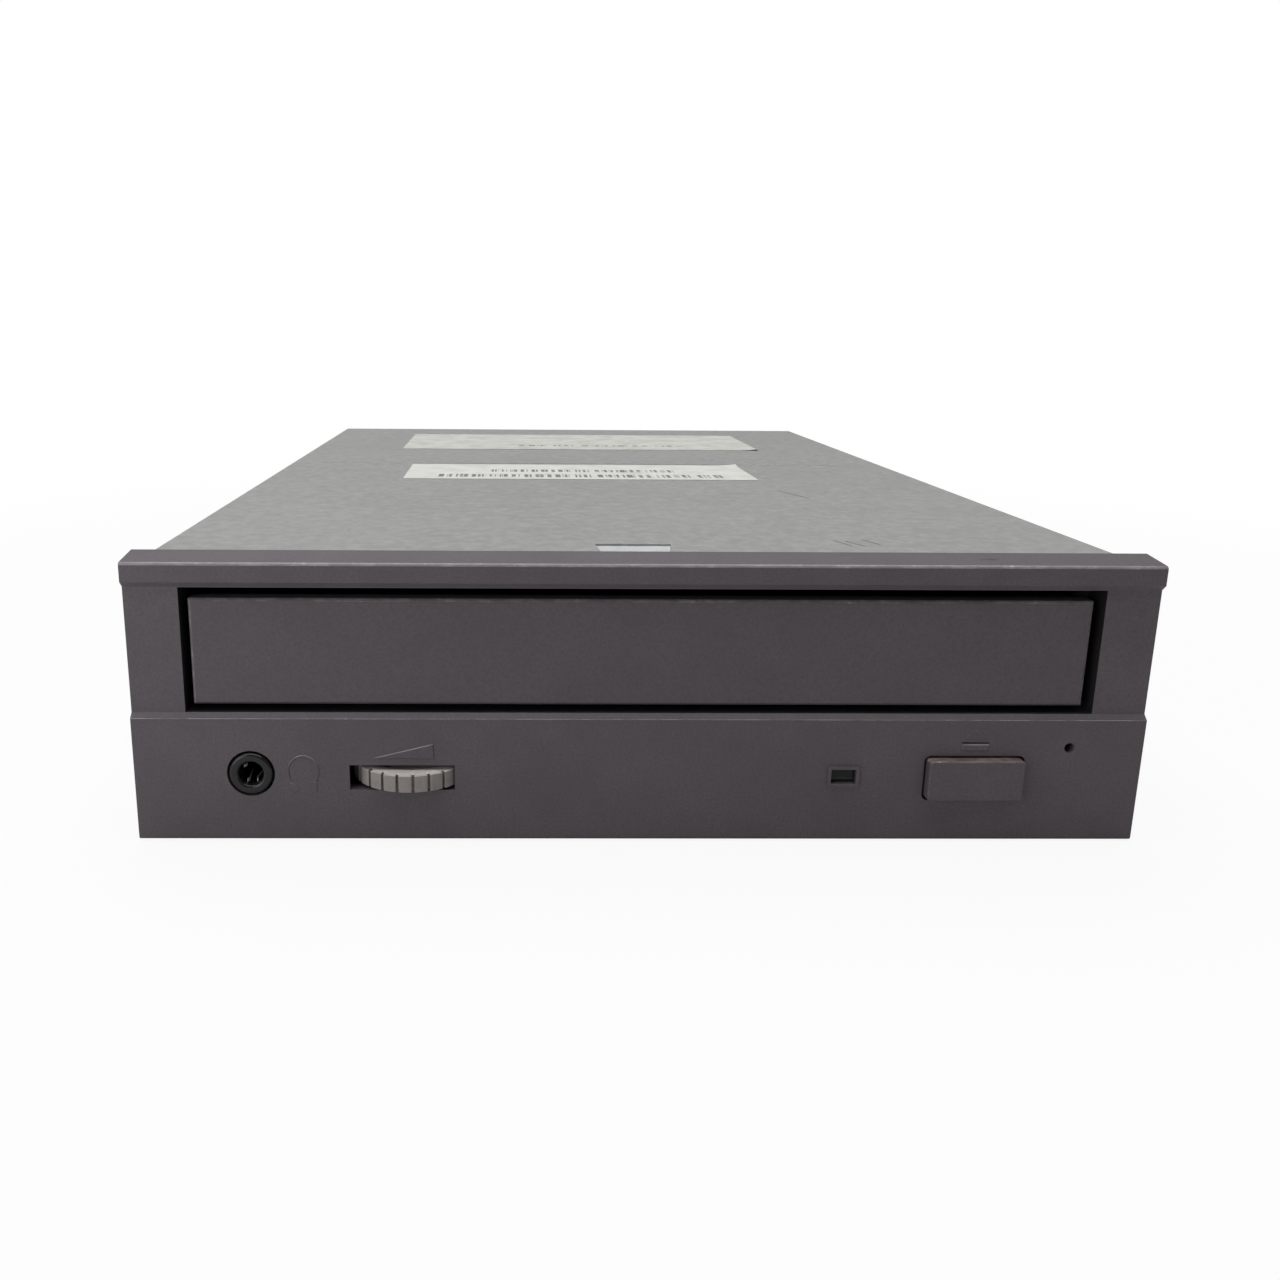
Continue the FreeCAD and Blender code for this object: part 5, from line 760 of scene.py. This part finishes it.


# Indicator
# A small lamp behind a dark tinted window of clear plastic, set in the raised frame of the
# bezel. A fine lighter line painted across it is a painted highlight.
window = spare_copy("led_lens", "window")
tinted = Finish("tinted_window", Specular_IOR_Level=0.2)
haze = tinted.noise(1.2, 3)
glass_tone = tinted.mix(haze, (0.004, 0.006, 0.005, 1), (0.01, 0.014, 0.011, 1))
up = tinted.axis("Z")
# Painted highlight: a thin lighter band across the dark window.
painted_highlight_line = tinted.step(up, 9.62 * MM, 9.7 * MM) * tinted.step(up, 9.86 * MM, 9.78 * MM)
tone = tinted.mix(painted_highlight_line * 0.5, glass_tone, shade(60, 66, 63))
dress(window, tinted.finish(tone, 0.25 + haze * 0.08))
round_edges(window, 0.12)
fit(window, "chassis", "led_lens")


# Top cover
# Galvanised sheet steel, folded down at the sides and back and held by four sunk screws. Its
# face is mottled grey, with fine scratches, finger marks, a pressed tab and a faint crease. The
# floor of the tab is painted paler as painted light.
def galvanised(name, colour, light, metal=0.4, rough=0.45, wear=1.0, strokes=()):
    """Sheet steel with a zinc skin; strokes are dark marks (x, depth, half length, lean)."""
    make, colour, light = Finish(name), shade(*colour), shade(*light)
    mottle = make.noise(2.2, 6, 0.7)
    spangle = make.cells(5.5, output="Color")
    flake = make.add("ShaderNodeSeparateXYZ", {}, {0: spangle}, "X")
    body = make.mix(make.step(mottle, 0.35, 0.68), colour, light)
    body = make.mix(flake * 0.1, body, light)
    pepper = make.step(make.noise(0.5, 3, 0.6), 0.6, 0.75)
    body = make.mix(pepper * 0.25, body, shade(118, 120, 117))
    lines = make.noise(0.5, 2, 0.5, (1, 0.03, 1))
    stray = make.noise(0.45, 2, 0.5, (0.05, 0.8, 1))
    patch = make.step(make.noise(30, 2), 0.5, 0.62)
    scratch = make.step(lines, 0.7, 0.76) * patch + make.step(stray, 0.73, 0.78) * patch * 0.7
    body = make.mix(make.step(scratch, 0.0, 1.0, 0.0, 0.3 * wear), body, shade(198, 200, 197))
    scuff = make.step(make.noise(0.7, 2, 0.5, (0.35, 0.06, 1)), 0.72, 0.77)
    scuff = scuff * make.step(make.noise(18, 2), 0.56, 0.66)
    body = make.mix(scuff * 0.5 * wear, body, shade(84, 86, 84))
    x, back = make.axis("X"), make.axis("Y")
    for x_mid, depth, reach, lean in strokes:
        along = back - (FRONT + depth * MM)
        off = x - x_mid * MM - along * lean
        stroke = (along * along < (reach * MM) ** 2) * (off * off < (STROKE_HALF * MM) ** 2)
        body = make.mix(stroke * 0.7, body, shade(62, 62, 61))
    smear = make.step(make.noise(38, 5, 0.6), 0.44, 0.68)
    body = make.mix(smear * 0.25, body, shade(120, 124, 122))
    gloss = rough + smear * 0.1 + make.noise(0.9, 3) * 0.12 - flake * 0.04
    relief = make.noise(0.9, 4, 0.6) * 0.5 - scratch * 0.4
    return make.finish(body, gloss, relief, 0.01, metal)


STROKE_HALF = 0.22
STROKES = ((33.3, 18.7, 2.0, -0.4), (35.2, 18.3, 2.2, -0.45), (38.1, 19.7, 2.0, -0.4),
           (38.4, 69.5, 5.0, -0.4))
cover_steel = galvanised("cover_steel", (142, 142, 141), (157, 157, 155), strokes=STROKES)
sheared_edge = galvanised("sheared_edge", (172, 175, 172), (196, 198, 195), 0.6, 0.4, 0.4)


def edge_band(piece, node, reach):
    """Keeps the worn finish only on strips near the outer limits of the node."""
    low, high = [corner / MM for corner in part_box(node)]
    front, back = low.y - FRONT / MM, high.y - FRONT / MM
    paint(piece, 0, lambda x, d, z, n: min(x - low.x, high.x - x, d - front, back - d) > reach)


cover = spare_copy("top_cover", "cover")
TAB_LOW, TAB_HIGH, TAB_HALF, TAB_BACK = 40, 41.15, 6.1, 17.9
# Painted light: a much paler copy of the cover steel for the floor of the pressed tab.
tab_steel_painted_light = galvanised("tab_steel_painted_light", (182, 186, 185), (198, 201, 200), 0.3, 0.4, 0.3)
dress(cover, cover_steel, sheared_edge, tab_steel_painted_light)
round_edges(cover, 0.1, worn=1)
edge_band(cover, "top_cover", 0.7)
# The upward floor of the pressed tab gets the painted light.
paint(cover, 2, lambda x, d, z, n:
      n.z > 0.9 and TAB_LOW < z < TAB_HIGH and abs(x) < TAB_HALF and d < TAB_BACK)
fit(cover, "chassis", "top_cover")
COVER_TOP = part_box("top_cover")[1].z / MM


# Labels
# Two paper labels stuck on the cover, both plain but for rows of ruled bars. The front one is
# still white; the rear one is soiled and streaked where it was rubbed.
SHEET_COLUMNS, SHEET_ROWS, SHEET_THICK, CURL_REACH = 36, 14, 0.07, (5.0, 4.0)


def label(name, x_span, depth_span, material, curl):
    """A paper label: a thin sheet that follows the cover, with one corner lifting."""
    mesh = bmesh.new()
    grid = []
    for j in range(SHEET_ROWS + 1):
        grid.append([])
        for i in range(SHEET_COLUMNS + 1):
            x = x_span[0] + (x_span[1] - x_span[0]) * i / SHEET_COLUMNS
            d = depth_span[0] + (depth_span[1] - depth_span[0]) * j / SHEET_ROWS
            corner = math.hypot((x - curl[0]) / CURL_REACH[0], (d - curl[1]) / CURL_REACH[1])
            lift = 0.012 * math.sin(x * 0.9) * math.sin(d * 0.7)
            lift += 0.35 * max(0.0, 1 - corner) ** 2
            at = (x * MM, FRONT + d * MM, (COVER_TOP + 0.03 + lift) * MM)
            grid[-1].append(mesh.verts.new(at))
    for near, far in zip(grid, grid[1:]):
        for i in range(SHEET_COLUMNS):
            mesh.faces.new((near[i], near[i + 1], far[i + 1], far[i]))
    piece = dress(new_piece(name, mesh), material)
    sheet = piece.modifiers.new("sheet", "SOLIDIFY")
    sheet.thickness = SHEET_THICK * MM
    sheet.offset = 1
    smooth(settle(piece))
    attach(piece, "chassis")


def paper(name, colour, grime, worn, bars):
    """Matt label paper, soiled and rubbed, with rows of plain ruled bars of uneven width."""
    make = Finish(name)
    body = make.mix(make.step(make.noise(6, 5, 0.65), 0.35, 0.7), shade(*colour), shade(*grime))
    bright = make.noise(0.5, 2)
    rub = make.step(make.noise(2.4, 6, 0.72, (0.45, 1, 1)), 0.5, 0.64)
    body = make.mix(rub * worn, body, shade(170, 172, 168))
    x, back = make.axis("X"), make.axis("Y")
    for low, high, left, right, pitch in bars:
        window = (back > FRONT + low * MM) * (back < FRONT + high * MM)
        window = window * (x > left * MM) * (x < right * MM)
        stripe = make.noise(pitch, 1, 0.5, (1, 0.0, 0.0)) > 0.5
        body = make.mix(window * stripe * (0.8 - rub * 0.5), body, shade(58, 58, 60))
    return make.finish(body, 0.72 + bright * 0.1, bright, 0.004)


FRONT_BARS = ((93.0, 97.6, -36.0, 29.0, 0.9), (102.0, 106.0, -24.0, 19.0, 0.8))
REAR_BARS = ((158.0, 160.0, -18.0, 30.0, 1.4),)
front_paper = paper("front_label_paper", (191, 192, 187), (178, 178, 172), 0.12, FRONT_BARS)
rear_paper = paper("rear_label_paper", (180, 180, 175), (160, 160, 154), 0.6, REAR_BARS)
label("front_label", (-43, 36), (90, 115.5), front_paper, (36, 115.5))
label("rear_label", (-48.8, 49.3), (149.5, 190), rear_paper, (49.3, 149.5))


# Base pan
# The lower half of the case, pressed and folded from the same galvanised sheet, with walls,
# formed screw collars, a pressed panel below and windows for the plugs at the back.
pan_steel = galvanised("pan_steel", (143, 145, 144), (159, 161, 159), 0.4, 0.42, 0.7)
pan = spare_copy("base_pan", "pan")
dress(pan, pan_steel, sheared_edge)
round_edges(pan, 0.06, 1, worn=1)
edge_band(pan, "base_pan", 0.5)
fit(pan, "chassis", "base_pan")


# Screws
# Bright zinc-plated steel screws with cross recesses and rolled threads: four sunk in the sides
# of the cover, four sunk in the base, four pan heads on the board and four through the dampers.
def metal_part(name, colour, tint, rough, streak=(1, 1, 1), grain=0.5, metal=1.0):
    make, colour, tint = Finish(name), shade(*colour), shade(*tint)
    brush = make.noise(grain, 3, 0.6, streak)
    tarnish = make.step(make.noise(6, 5, 0.65), 0.45, 0.72)
    body = make.mix(make.step(brush, 0.3, 0.7), colour, tint)
    body = make.mix(tarnish * 0.3, body, scaled(colour, 0.7))
    return make.finish(body, rough + brush * 0.15 + tarnish * 0.1, brush, 0.004, metal)


def screw_model(head, height, shank, length, cross, sunk):
    """A screw pointing down from z = 0, with a cross recess in its head."""
    arm, half = cross, cross * 0.3
    corner = math.degrees(math.atan2(half, arm))
    steps = [0, corner, (2 * corner + 45) / 3, (corner + 90) / 3, 45]
    steps += [90 - step for step in steps[3:0:-1]]
    turns = [math.radians(quarter * 90 + step) for quarter in range(4) for step in steps]
    star = []
    for turn in turns:
        quarter = math.degrees(turn) % 90
        near = math.radians(min(quarter, 90 - quarter))
        on_end = math.tan(near) <= half / arm * 1.0001
        star.append(arm / math.cos(near) if on_end else half / math.sin(near))
    crown = 0.0 if sunk else height * 0.22
    rings = [([r * 0.55 for r in star], -height * 0.75), (star, -0.02 * height)]
    rings += [([r * 1.06 for r in star], 0.0), (0.74 * head, -crown * 0.4), (0.9 * head, -crown)]
    rings += [(head, -crown - 0.12 * height), (head, -height * (0.3 if sunk else 1.0))]
    rings.append((shank, -height))
    for i in range(2 * int(length - height)):
        rings.append((shank * (0.84 if i % 2 else 1.0), -height - (i + 1) * 0.5))
    rings.append((shank * 0.5, -length))
    rows = []
    for radii, z in rings:
        radii = radii if isinstance(radii, list) else [radii] * len(turns)
        rows.append([(r * math.cos(t), r * math.sin(t), z) for r, t in zip(radii, turns)])
    return tube("screw_model", rows)


def solids_of(node):
    """The low and high corners of each separate solid of a CAD node."""
    mesh = cad_mesh(node)
    spans = []
    for solid in groups(mesh.verts, lambda vert: [e.other_vert(vert) for e in vert.link_edges]):
        spans.append([Vector([pick(vert.co[k] for vert in solid) for k in range(3)])
                      for pick in (min, max)])
    mesh.free()
    return sorted(spans, key=lambda span: tuple(span[0]))


screw_steel = metal_part("zinc_screw", (186, 184, 172), (208, 206, 196), 0.28)
SHANK, CROSS_SHARE = 1.2, 0.58
DAMPER_LEAN, DAMPER_SHIFT, DAMPER_CUT = math.radians(3.6), Vector((0, 0.35, 0.17)) * MM, 0.6
SCREW_SETS = {
    "cover_screws": ("chassis", "side", 2.3, 0.5, 4.0, True),
    "frame_screws": ("chassis", "down", 2.3, 0.5, 8.0, True),
    "board_screws": ("chassis", "up", 2.6, 1.5, 5.5, False),
    "damper_screws": ("traverse", "up", 2.6, 1.2, None, False),
}
for node, (body_name, way, head, height, length, sunk) in SCREW_SETS.items():
    places = []
    for i, (low, high) in enumerate(solids_of(node)):
        point = (low + high) / 2
        if way == "side":
            side = -1 if point.x < 0 else 1
            point.x = low.x if side < 0 else high.x
            aim = Matrix.Rotation(side * math.pi / 2, 3, "Y")
            turn = (Matrix.Rotation(0.3 * i, 3, "X") @ aim).to_euler()[:]
        elif way == "down":
            point.z, turn = low.z, (math.pi, 0, 0.5 * i)
        else:
            point.z, turn = high.z, (0, 0, 0.7 * i + 0.2)
            length = length or (high.z - low.z) / MM
        places.append((point, turn))
    if node == "damper_screws":
        places = [(point - DAMPER_SHIFT, (DAMPER_LEAN, 0, 0)) for point, _ in places]
        length -= DAMPER_CUT
    model = screw_model(head, height, SHANK, length, head * CROSS_SHARE, sunk)
    screws = set_of_copies(node + "_turned", model, places, screw_steel)
    fit(screws, body_name, node)


# Connectors
# Glass-filled black nylon housings for the wide data plug, the jumpers and the audio plugs, and
# a white nylon power socket, with gold-plated pins. They are soldered to the main board.
def plastic_part(name, colour, tint, grain=0.5, rough=0.42, depth=0.008, **fixed):
    make = Finish(name, **fixed)
    cloud = make.noise(7, 4)
    speck = make.noise(grain, 2)
    dirt = make.step(make.noise(2.4, 5, 0.7), 0.58, 0.74)
    body = make.mix(make.step(cloud, 0.35, 0.68), colour, tint)
    body = make.mix(dirt * 0.3, body, scaled(colour, 0.6))
    return make.finish(body, rough + speck * 0.1 + dirt * 0.12, speck, depth)


def finished(node, body_name, material, width=0.12):
    """A clean copy of a CAD node with its edges rounded, in its place."""
    piece = dress(spare_copy(node, node + "_finished"), material)
    round_edges(piece, width, angle=40)
    fit(piece, body_name, node)


def as_built(material, *nodes):
    """Gives CAD nodes that keep their own shape their finish."""
    for node in nodes:
        dress(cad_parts[node], material)


connector_black = plastic_part(
    "connector_black", (0.015, 0.015, 0.016, 1), (0.022, 0.022, 0.023, 1), 0.3, 0.45, 0.014)
white_nylon = plastic_part(
    "white_nylon", shade(226, 222, 210), shade(214, 208, 192), 0.5, 0.38, 0.006,
    Subsurface_Weight=0.1, Subsurface_Scale=0.002)
gold_contact = metal_part("gold_contact", (222, 184, 96), (236, 204, 128), 0.18)
HOUSINGS = {"scsi_header": 0.15, "audio_sockets": 0.12, "jumper_header": 0.1, "jumper_caps": 0.15}
for node, width in HOUSINGS.items():
    finished(node, "chassis", connector_black, width)
finished("power_socket", "chassis", white_nylon, 0.2)
for node in ("scsi_pins", "signal_pins"):
    finished(node, "chassis", gold_contact, 0.06)
as_built(gold_contact, "power_pins")


# Boards
# Green glass-epoxy boards: the main one under the mechanism, one for the controls behind the
# bezel and a round one under the spindle motor. Tracks show under the resist, with tinned vias.
def circuit_board(name):
    make = Finish(name, Coat_Weight=0.4, Coat_Roughness=0.2)
    resist = make.mix(make.noise(12, 3), (0.012, 0.09, 0.035, 1), (0.02, 0.125, 0.05, 1))
    tracks = make.cells(3.4, distance="MANHATTAN", scatter=0.75)
    line = make.step(tracks.sum("PINGPONG", tracks, 0.11), 0.072, 0.088)
    body = make.mix(line * 0.55, resist, (0.05, 0.24, 0.1, 1))
    via = make.cells(2.6)
    body = make.mix(make.step(via, 0.13, 0.09), body, shade(196, 190, 168))
    relief = line * 0.6 + make.noise(0.3, 2) * 0.2
    return make.finish(body, 0.34 + make.noise(1.0, 3) * 0.1, relief, 0.02)


as_built(circuit_board("circuit_board"), "main_board", "control_board", "motor_board")
as_built(white_nylon, "control_spacers")


# Chips
# Moulded black epoxy bodies on the main board, with two rows of tinned gull-wing legs each,
# soldered to the tracks.
LEG_PITCH, LEG_HALF_WIDTH, LEG_HALF_THICK = 1.27, 0.2, 0.09
chip_epoxy = plastic_part(
    "chip_epoxy", (0.02, 0.02, 0.021, 1), (0.028, 0.028, 0.029, 1), 0.25, 0.55, 0.01)
finished("board_chips", "chassis", chip_epoxy)
tinned = metal_part("tinned_leg", (190, 192, 192), (212, 213, 212), 0.25)
bends = ((-0.3, 1.2), (0.35, 1.15), (0.6, 0.85), (0.75, 0.2), (1.3, 0.12))
leg = tube("leg_model", [[
    (out, side * LEG_HALF_WIDTH, up + rise * LEG_HALF_THICK)
    for side, rise in SQUARE] for out, up in bends])
leg_places = []
for low, high in solids_of("board_chips"):
    size = high - low
    along, aside = (0, 1) if size.x > size.y else (1, 0)
    count = int((size[along] / MM - 1.0) / LEG_PITCH)
    for sign in (-1, 1):
        for i in range(count):
            point = (low + high) / 2
            point[along] += (i - (count - 1) / 2) * LEG_PITCH * MM
            point[aside] = high[aside] if sign > 0 else low[aside]
            point.z = low.z
            heading = sign * math.pi / 2 if aside == 1 else (0 if sign > 0 else math.pi)
            leg_places.append((point, (0, 0, heading)))
legs = set_of_copies("chip_legs", leg, leg_places, tinned)
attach(legs, "chassis")


# Capacitors
# Aluminium cans in a dark blue shrunk sleeve, whose ends are left bare and scored with a cross
# that lets them vent.
sleeve = plastic_part(
    "capacitor_sleeve", (0.01, 0.014, 0.05, 1), (0.014, 0.02, 0.07, 1), 0.8, 0.22, 0.004)
can_metal = metal_part("capacitor_can", (196, 198, 198), (214, 215, 215), 0.3)
cans = []
for i, (low, high) in enumerate(solids_of("board_capacitors")):
    middle, radius = (low + high) / 2 / MM, (high.x - low.x) / 2 / MM
    bottom, top = low.z / MM, high.z / MM
    place = (middle.x, middle.y - FRONT / MM)
    shell = lathe(f"sleeve_{i}", [
        (0.4, bottom), (radius - 0.15, bottom), (radius, bottom + 0.5), (radius, bottom + 1.2),
        (radius - 0.22, bottom + 1.5), (radius, bottom + 1.8), (radius, top - 0.35),
        (radius - 0.3, top - 0.05), (radius - 0.75, top), (radius - 0.75, top - 0.2),
        (0.4, top - 0.2),
    ], place, 40)
    can = lathe(f"can_{i}", [
        (0.05, top - 0.22), (radius - 0.7, top - 0.22), (radius - 0.7, top - 0.12),
        (radius - 0.9, top - 0.08), (0.05, top - 0.08),
    ], place, 40)
    cans += [dress(smooth(shell), sleeve), dress(smooth(can), can_metal)]
capacitors = join(cans[0], cans[1:])
capacitors.name = "capacitors"
fit(capacitors, "chassis", "board_capacitors")


# Ribbons
# White flat ribbons join the boards: printed conductors between two films, held in white nylon
# sockets that are soldered down.
def ribbon(name):
    make = Finish(name, Coat_Weight=0.5, Coat_Roughness=0.15)
    x = make.axis("X")
    wire = make.step(x.sum("PINGPONG", x, 0.5 * MM), 0.18 * MM, 0.3 * MM)
    body = make.mix(wire * 0.5, shade(228, 229, 226), shade(172, 170, 166))
    return make.finish(body, 0.35 + make.noise(3, 2) * 0.1, wire, 0.05)


as_built(ribbon("flat_ribbon"), "control_ribbon", "deck_ribbon")
finished("ribbon_sockets", "chassis", white_nylon, 0.1)
finished("eject_switch", "chassis", connector_black, 0.1)


# Tray
# The drawer is moulded in fine-grained black plastic, with a well for a disc, a smaller step
# within it, a slot for the pickup and a toothed rack below. Discs have polished its well.
def grained_black(name, polished):
    make = Finish(name)
    speck = make.noise(0.35, 2, 0.6)
    cloud = make.noise(14, 4)
    body = make.mix(make.step(cloud, 0.3, 0.7), (0.012, 0.012, 0.013, 1), (0.019, 0.019, 0.02, 1))
    hair = make.step(make.noise(0.5, 2, 0.5, (0.06, 1, 1)), 0.68, 0.74)
    hair = hair * make.step(make.noise(16, 3), 0.5, 0.62)
    body = make.mix(hair * 0.25 * polished, body, shade(92, 92, 94))
    dust = make.step(make.noise(1.6, 5, 0.7), 0.62, 0.75)
    body = make.mix(dust * 0.08, body, shade(140, 138, 134))
    return make.finish(body, 0.42 + speck * 0.12 - hair * 0.1, speck + hair * 0.5, 0.012)


tray_black = grained_black("tray_black", 1.0)
frame_black = grained_black("frame_black", 0.2)
finished("disc_tray", "tray", tray_black, 0.25)


# Mechanism frame
# The black moulded frame that carries the tray on its rails, the gears at the front and the
# hinged lift frame, screwed down through the base.
finished("loading_frame", "chassis", frame_black, 0.2)
finished("lift_frame", "traverse", frame_black, 0.2)


# Gears
# Natural white acetal gears, the cam slider and the pickup's rack. The belt gear turns the tray
# gear; the small train at the side drives the pickup along its rods. Grease darkens the roots.
def acetal(name):
    make = Finish(name, Subsurface_Weight=0.15, Subsurface_Scale=0.002)
    cloud = make.noise(5, 3)
    grease = make.step(make.noise(1.4, 5, 0.7), 0.56, 0.72)
    body = make.mix(cloud, shade(226, 222, 208), shade(214, 208, 190))
    body = make.mix(grease * 0.35, body, shade(176, 166, 138))
    gloss = 0.36 - grease * 0.16 + make.noise(0.4, 2) * 0.08
    return make.finish(body, gloss, grease * 0.4 + cloud * 0.1, 0.01)


gear_white = acetal("natural_acetal")
as_built(gear_white, "tray_gear", "belt_gear", "sled_gear", "sled_pinion", "pickup_rack")
finished("cam_slider", "cam", gear_white)


# Motors
# Drawn steel cans, the belt pulley turned from brass, and the square black drive belt, of the
# same rubber as the dampers and the ring on the turntable.
make = Finish("drawn_can")
brush = make.noise(0.4, 3, 0.6, (1, 1, 6))
stain = make.step(make.noise(4, 4), 0.5, 0.7)
tone = make.mix(make.step(brush, 0.3, 0.7), shade(176, 177, 172), shade(200, 200, 195))
tone = make.mix(stain * 0.25, tone, shade(140, 138, 130))
motor_can = make.finish(tone, 0.3 + brush * 0.15, brush, 0.004, 0.95)
for node, body_name, width in (
        ("loading_motor", "chassis", 0.3), ("spindle_motor", "traverse", 0.2),
        ("sled_motor", "traverse", 0.2)):
    finished(node, body_name, motor_can, width)
as_built(motor_can, "volume_pot", "clamp_magnet")
turned_brass = metal_part(
    "turned_brass", (205, 170, 98), (222, 190, 120), 0.2, (1, 1, 8))
as_built(turned_brass, "motor_pulley")
moulded_rubber = plastic_part(
    "moulded_rubber", (0.014, 0.014, 0.014, 1), (0.022, 0.022, 0.022, 1), 0.3, 0.68, 0.02)
as_built(moulded_rubber, "dampers", "turntable_pad", "drive_belt")


# Deck and clamp bridge
# Pressed from thin galvanised sheet, with folded edges. The deck hangs in its dampers and
# carries the spindle and the rods; the bridge spans the frame above and holds the clamper.
inner_steel = galvanised("inner_steel", (158, 160, 157), (178, 179, 175), 0.6, 0.4, 0.4)
finished("mech_deck", "traverse", inner_steel, 0.08)
finished("clamp_bridge", "chassis", inner_steel, 0.08)
as_built(inner_steel, "drive_bracket", "clamper_plate")
polished_rod = metal_part(
    "polished_rod", (205, 206, 207), (222, 222, 223), 0.1, (1, 0.1, 1))
as_built(polished_rod, "guide_rods")


# Turntable and clamper
# Two black plastic discs that hold a compact disc between them: the lower one on the spindle with
# a rubber ring and a sprung cone, the upper one loose in its bridge with a steel plate inside.
finished("turntable", "spindle", frame_black)
finished("clamper", "clamp", frame_black, 0.15)
as_built(frame_black, "centring_cone")


# Pickup
# A grey die-cast sled on two rods, with the lens actuator in a black cover. The lens is a small
# coated dome that looks blue and violet.
die_casting = metal_part(
    "die_casting", (150, 150, 152), (172, 172, 174), 0.42, (1, 1, 1), 0.9, 0.9)
finished("pickup_sled", "pickup", die_casting, 0.25)
finished("lens_actuator", "pickup", chip_epoxy, 0.15)
make = Finish("coated_lens", IOR=1.5, Transmission_Weight=0.6, Coat_Weight=1.0, Coat_Roughness=0.02)
sheen = make.noise(2, 2)
tone = make.mix(sheen, (0.3, 0.32, 0.7, 1), (0.42, 0.5, 0.85, 1))
as_built(make.finish(tone, 0.03 + sheen * 0.03), "objective_lens", "led_lamp")

low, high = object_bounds()
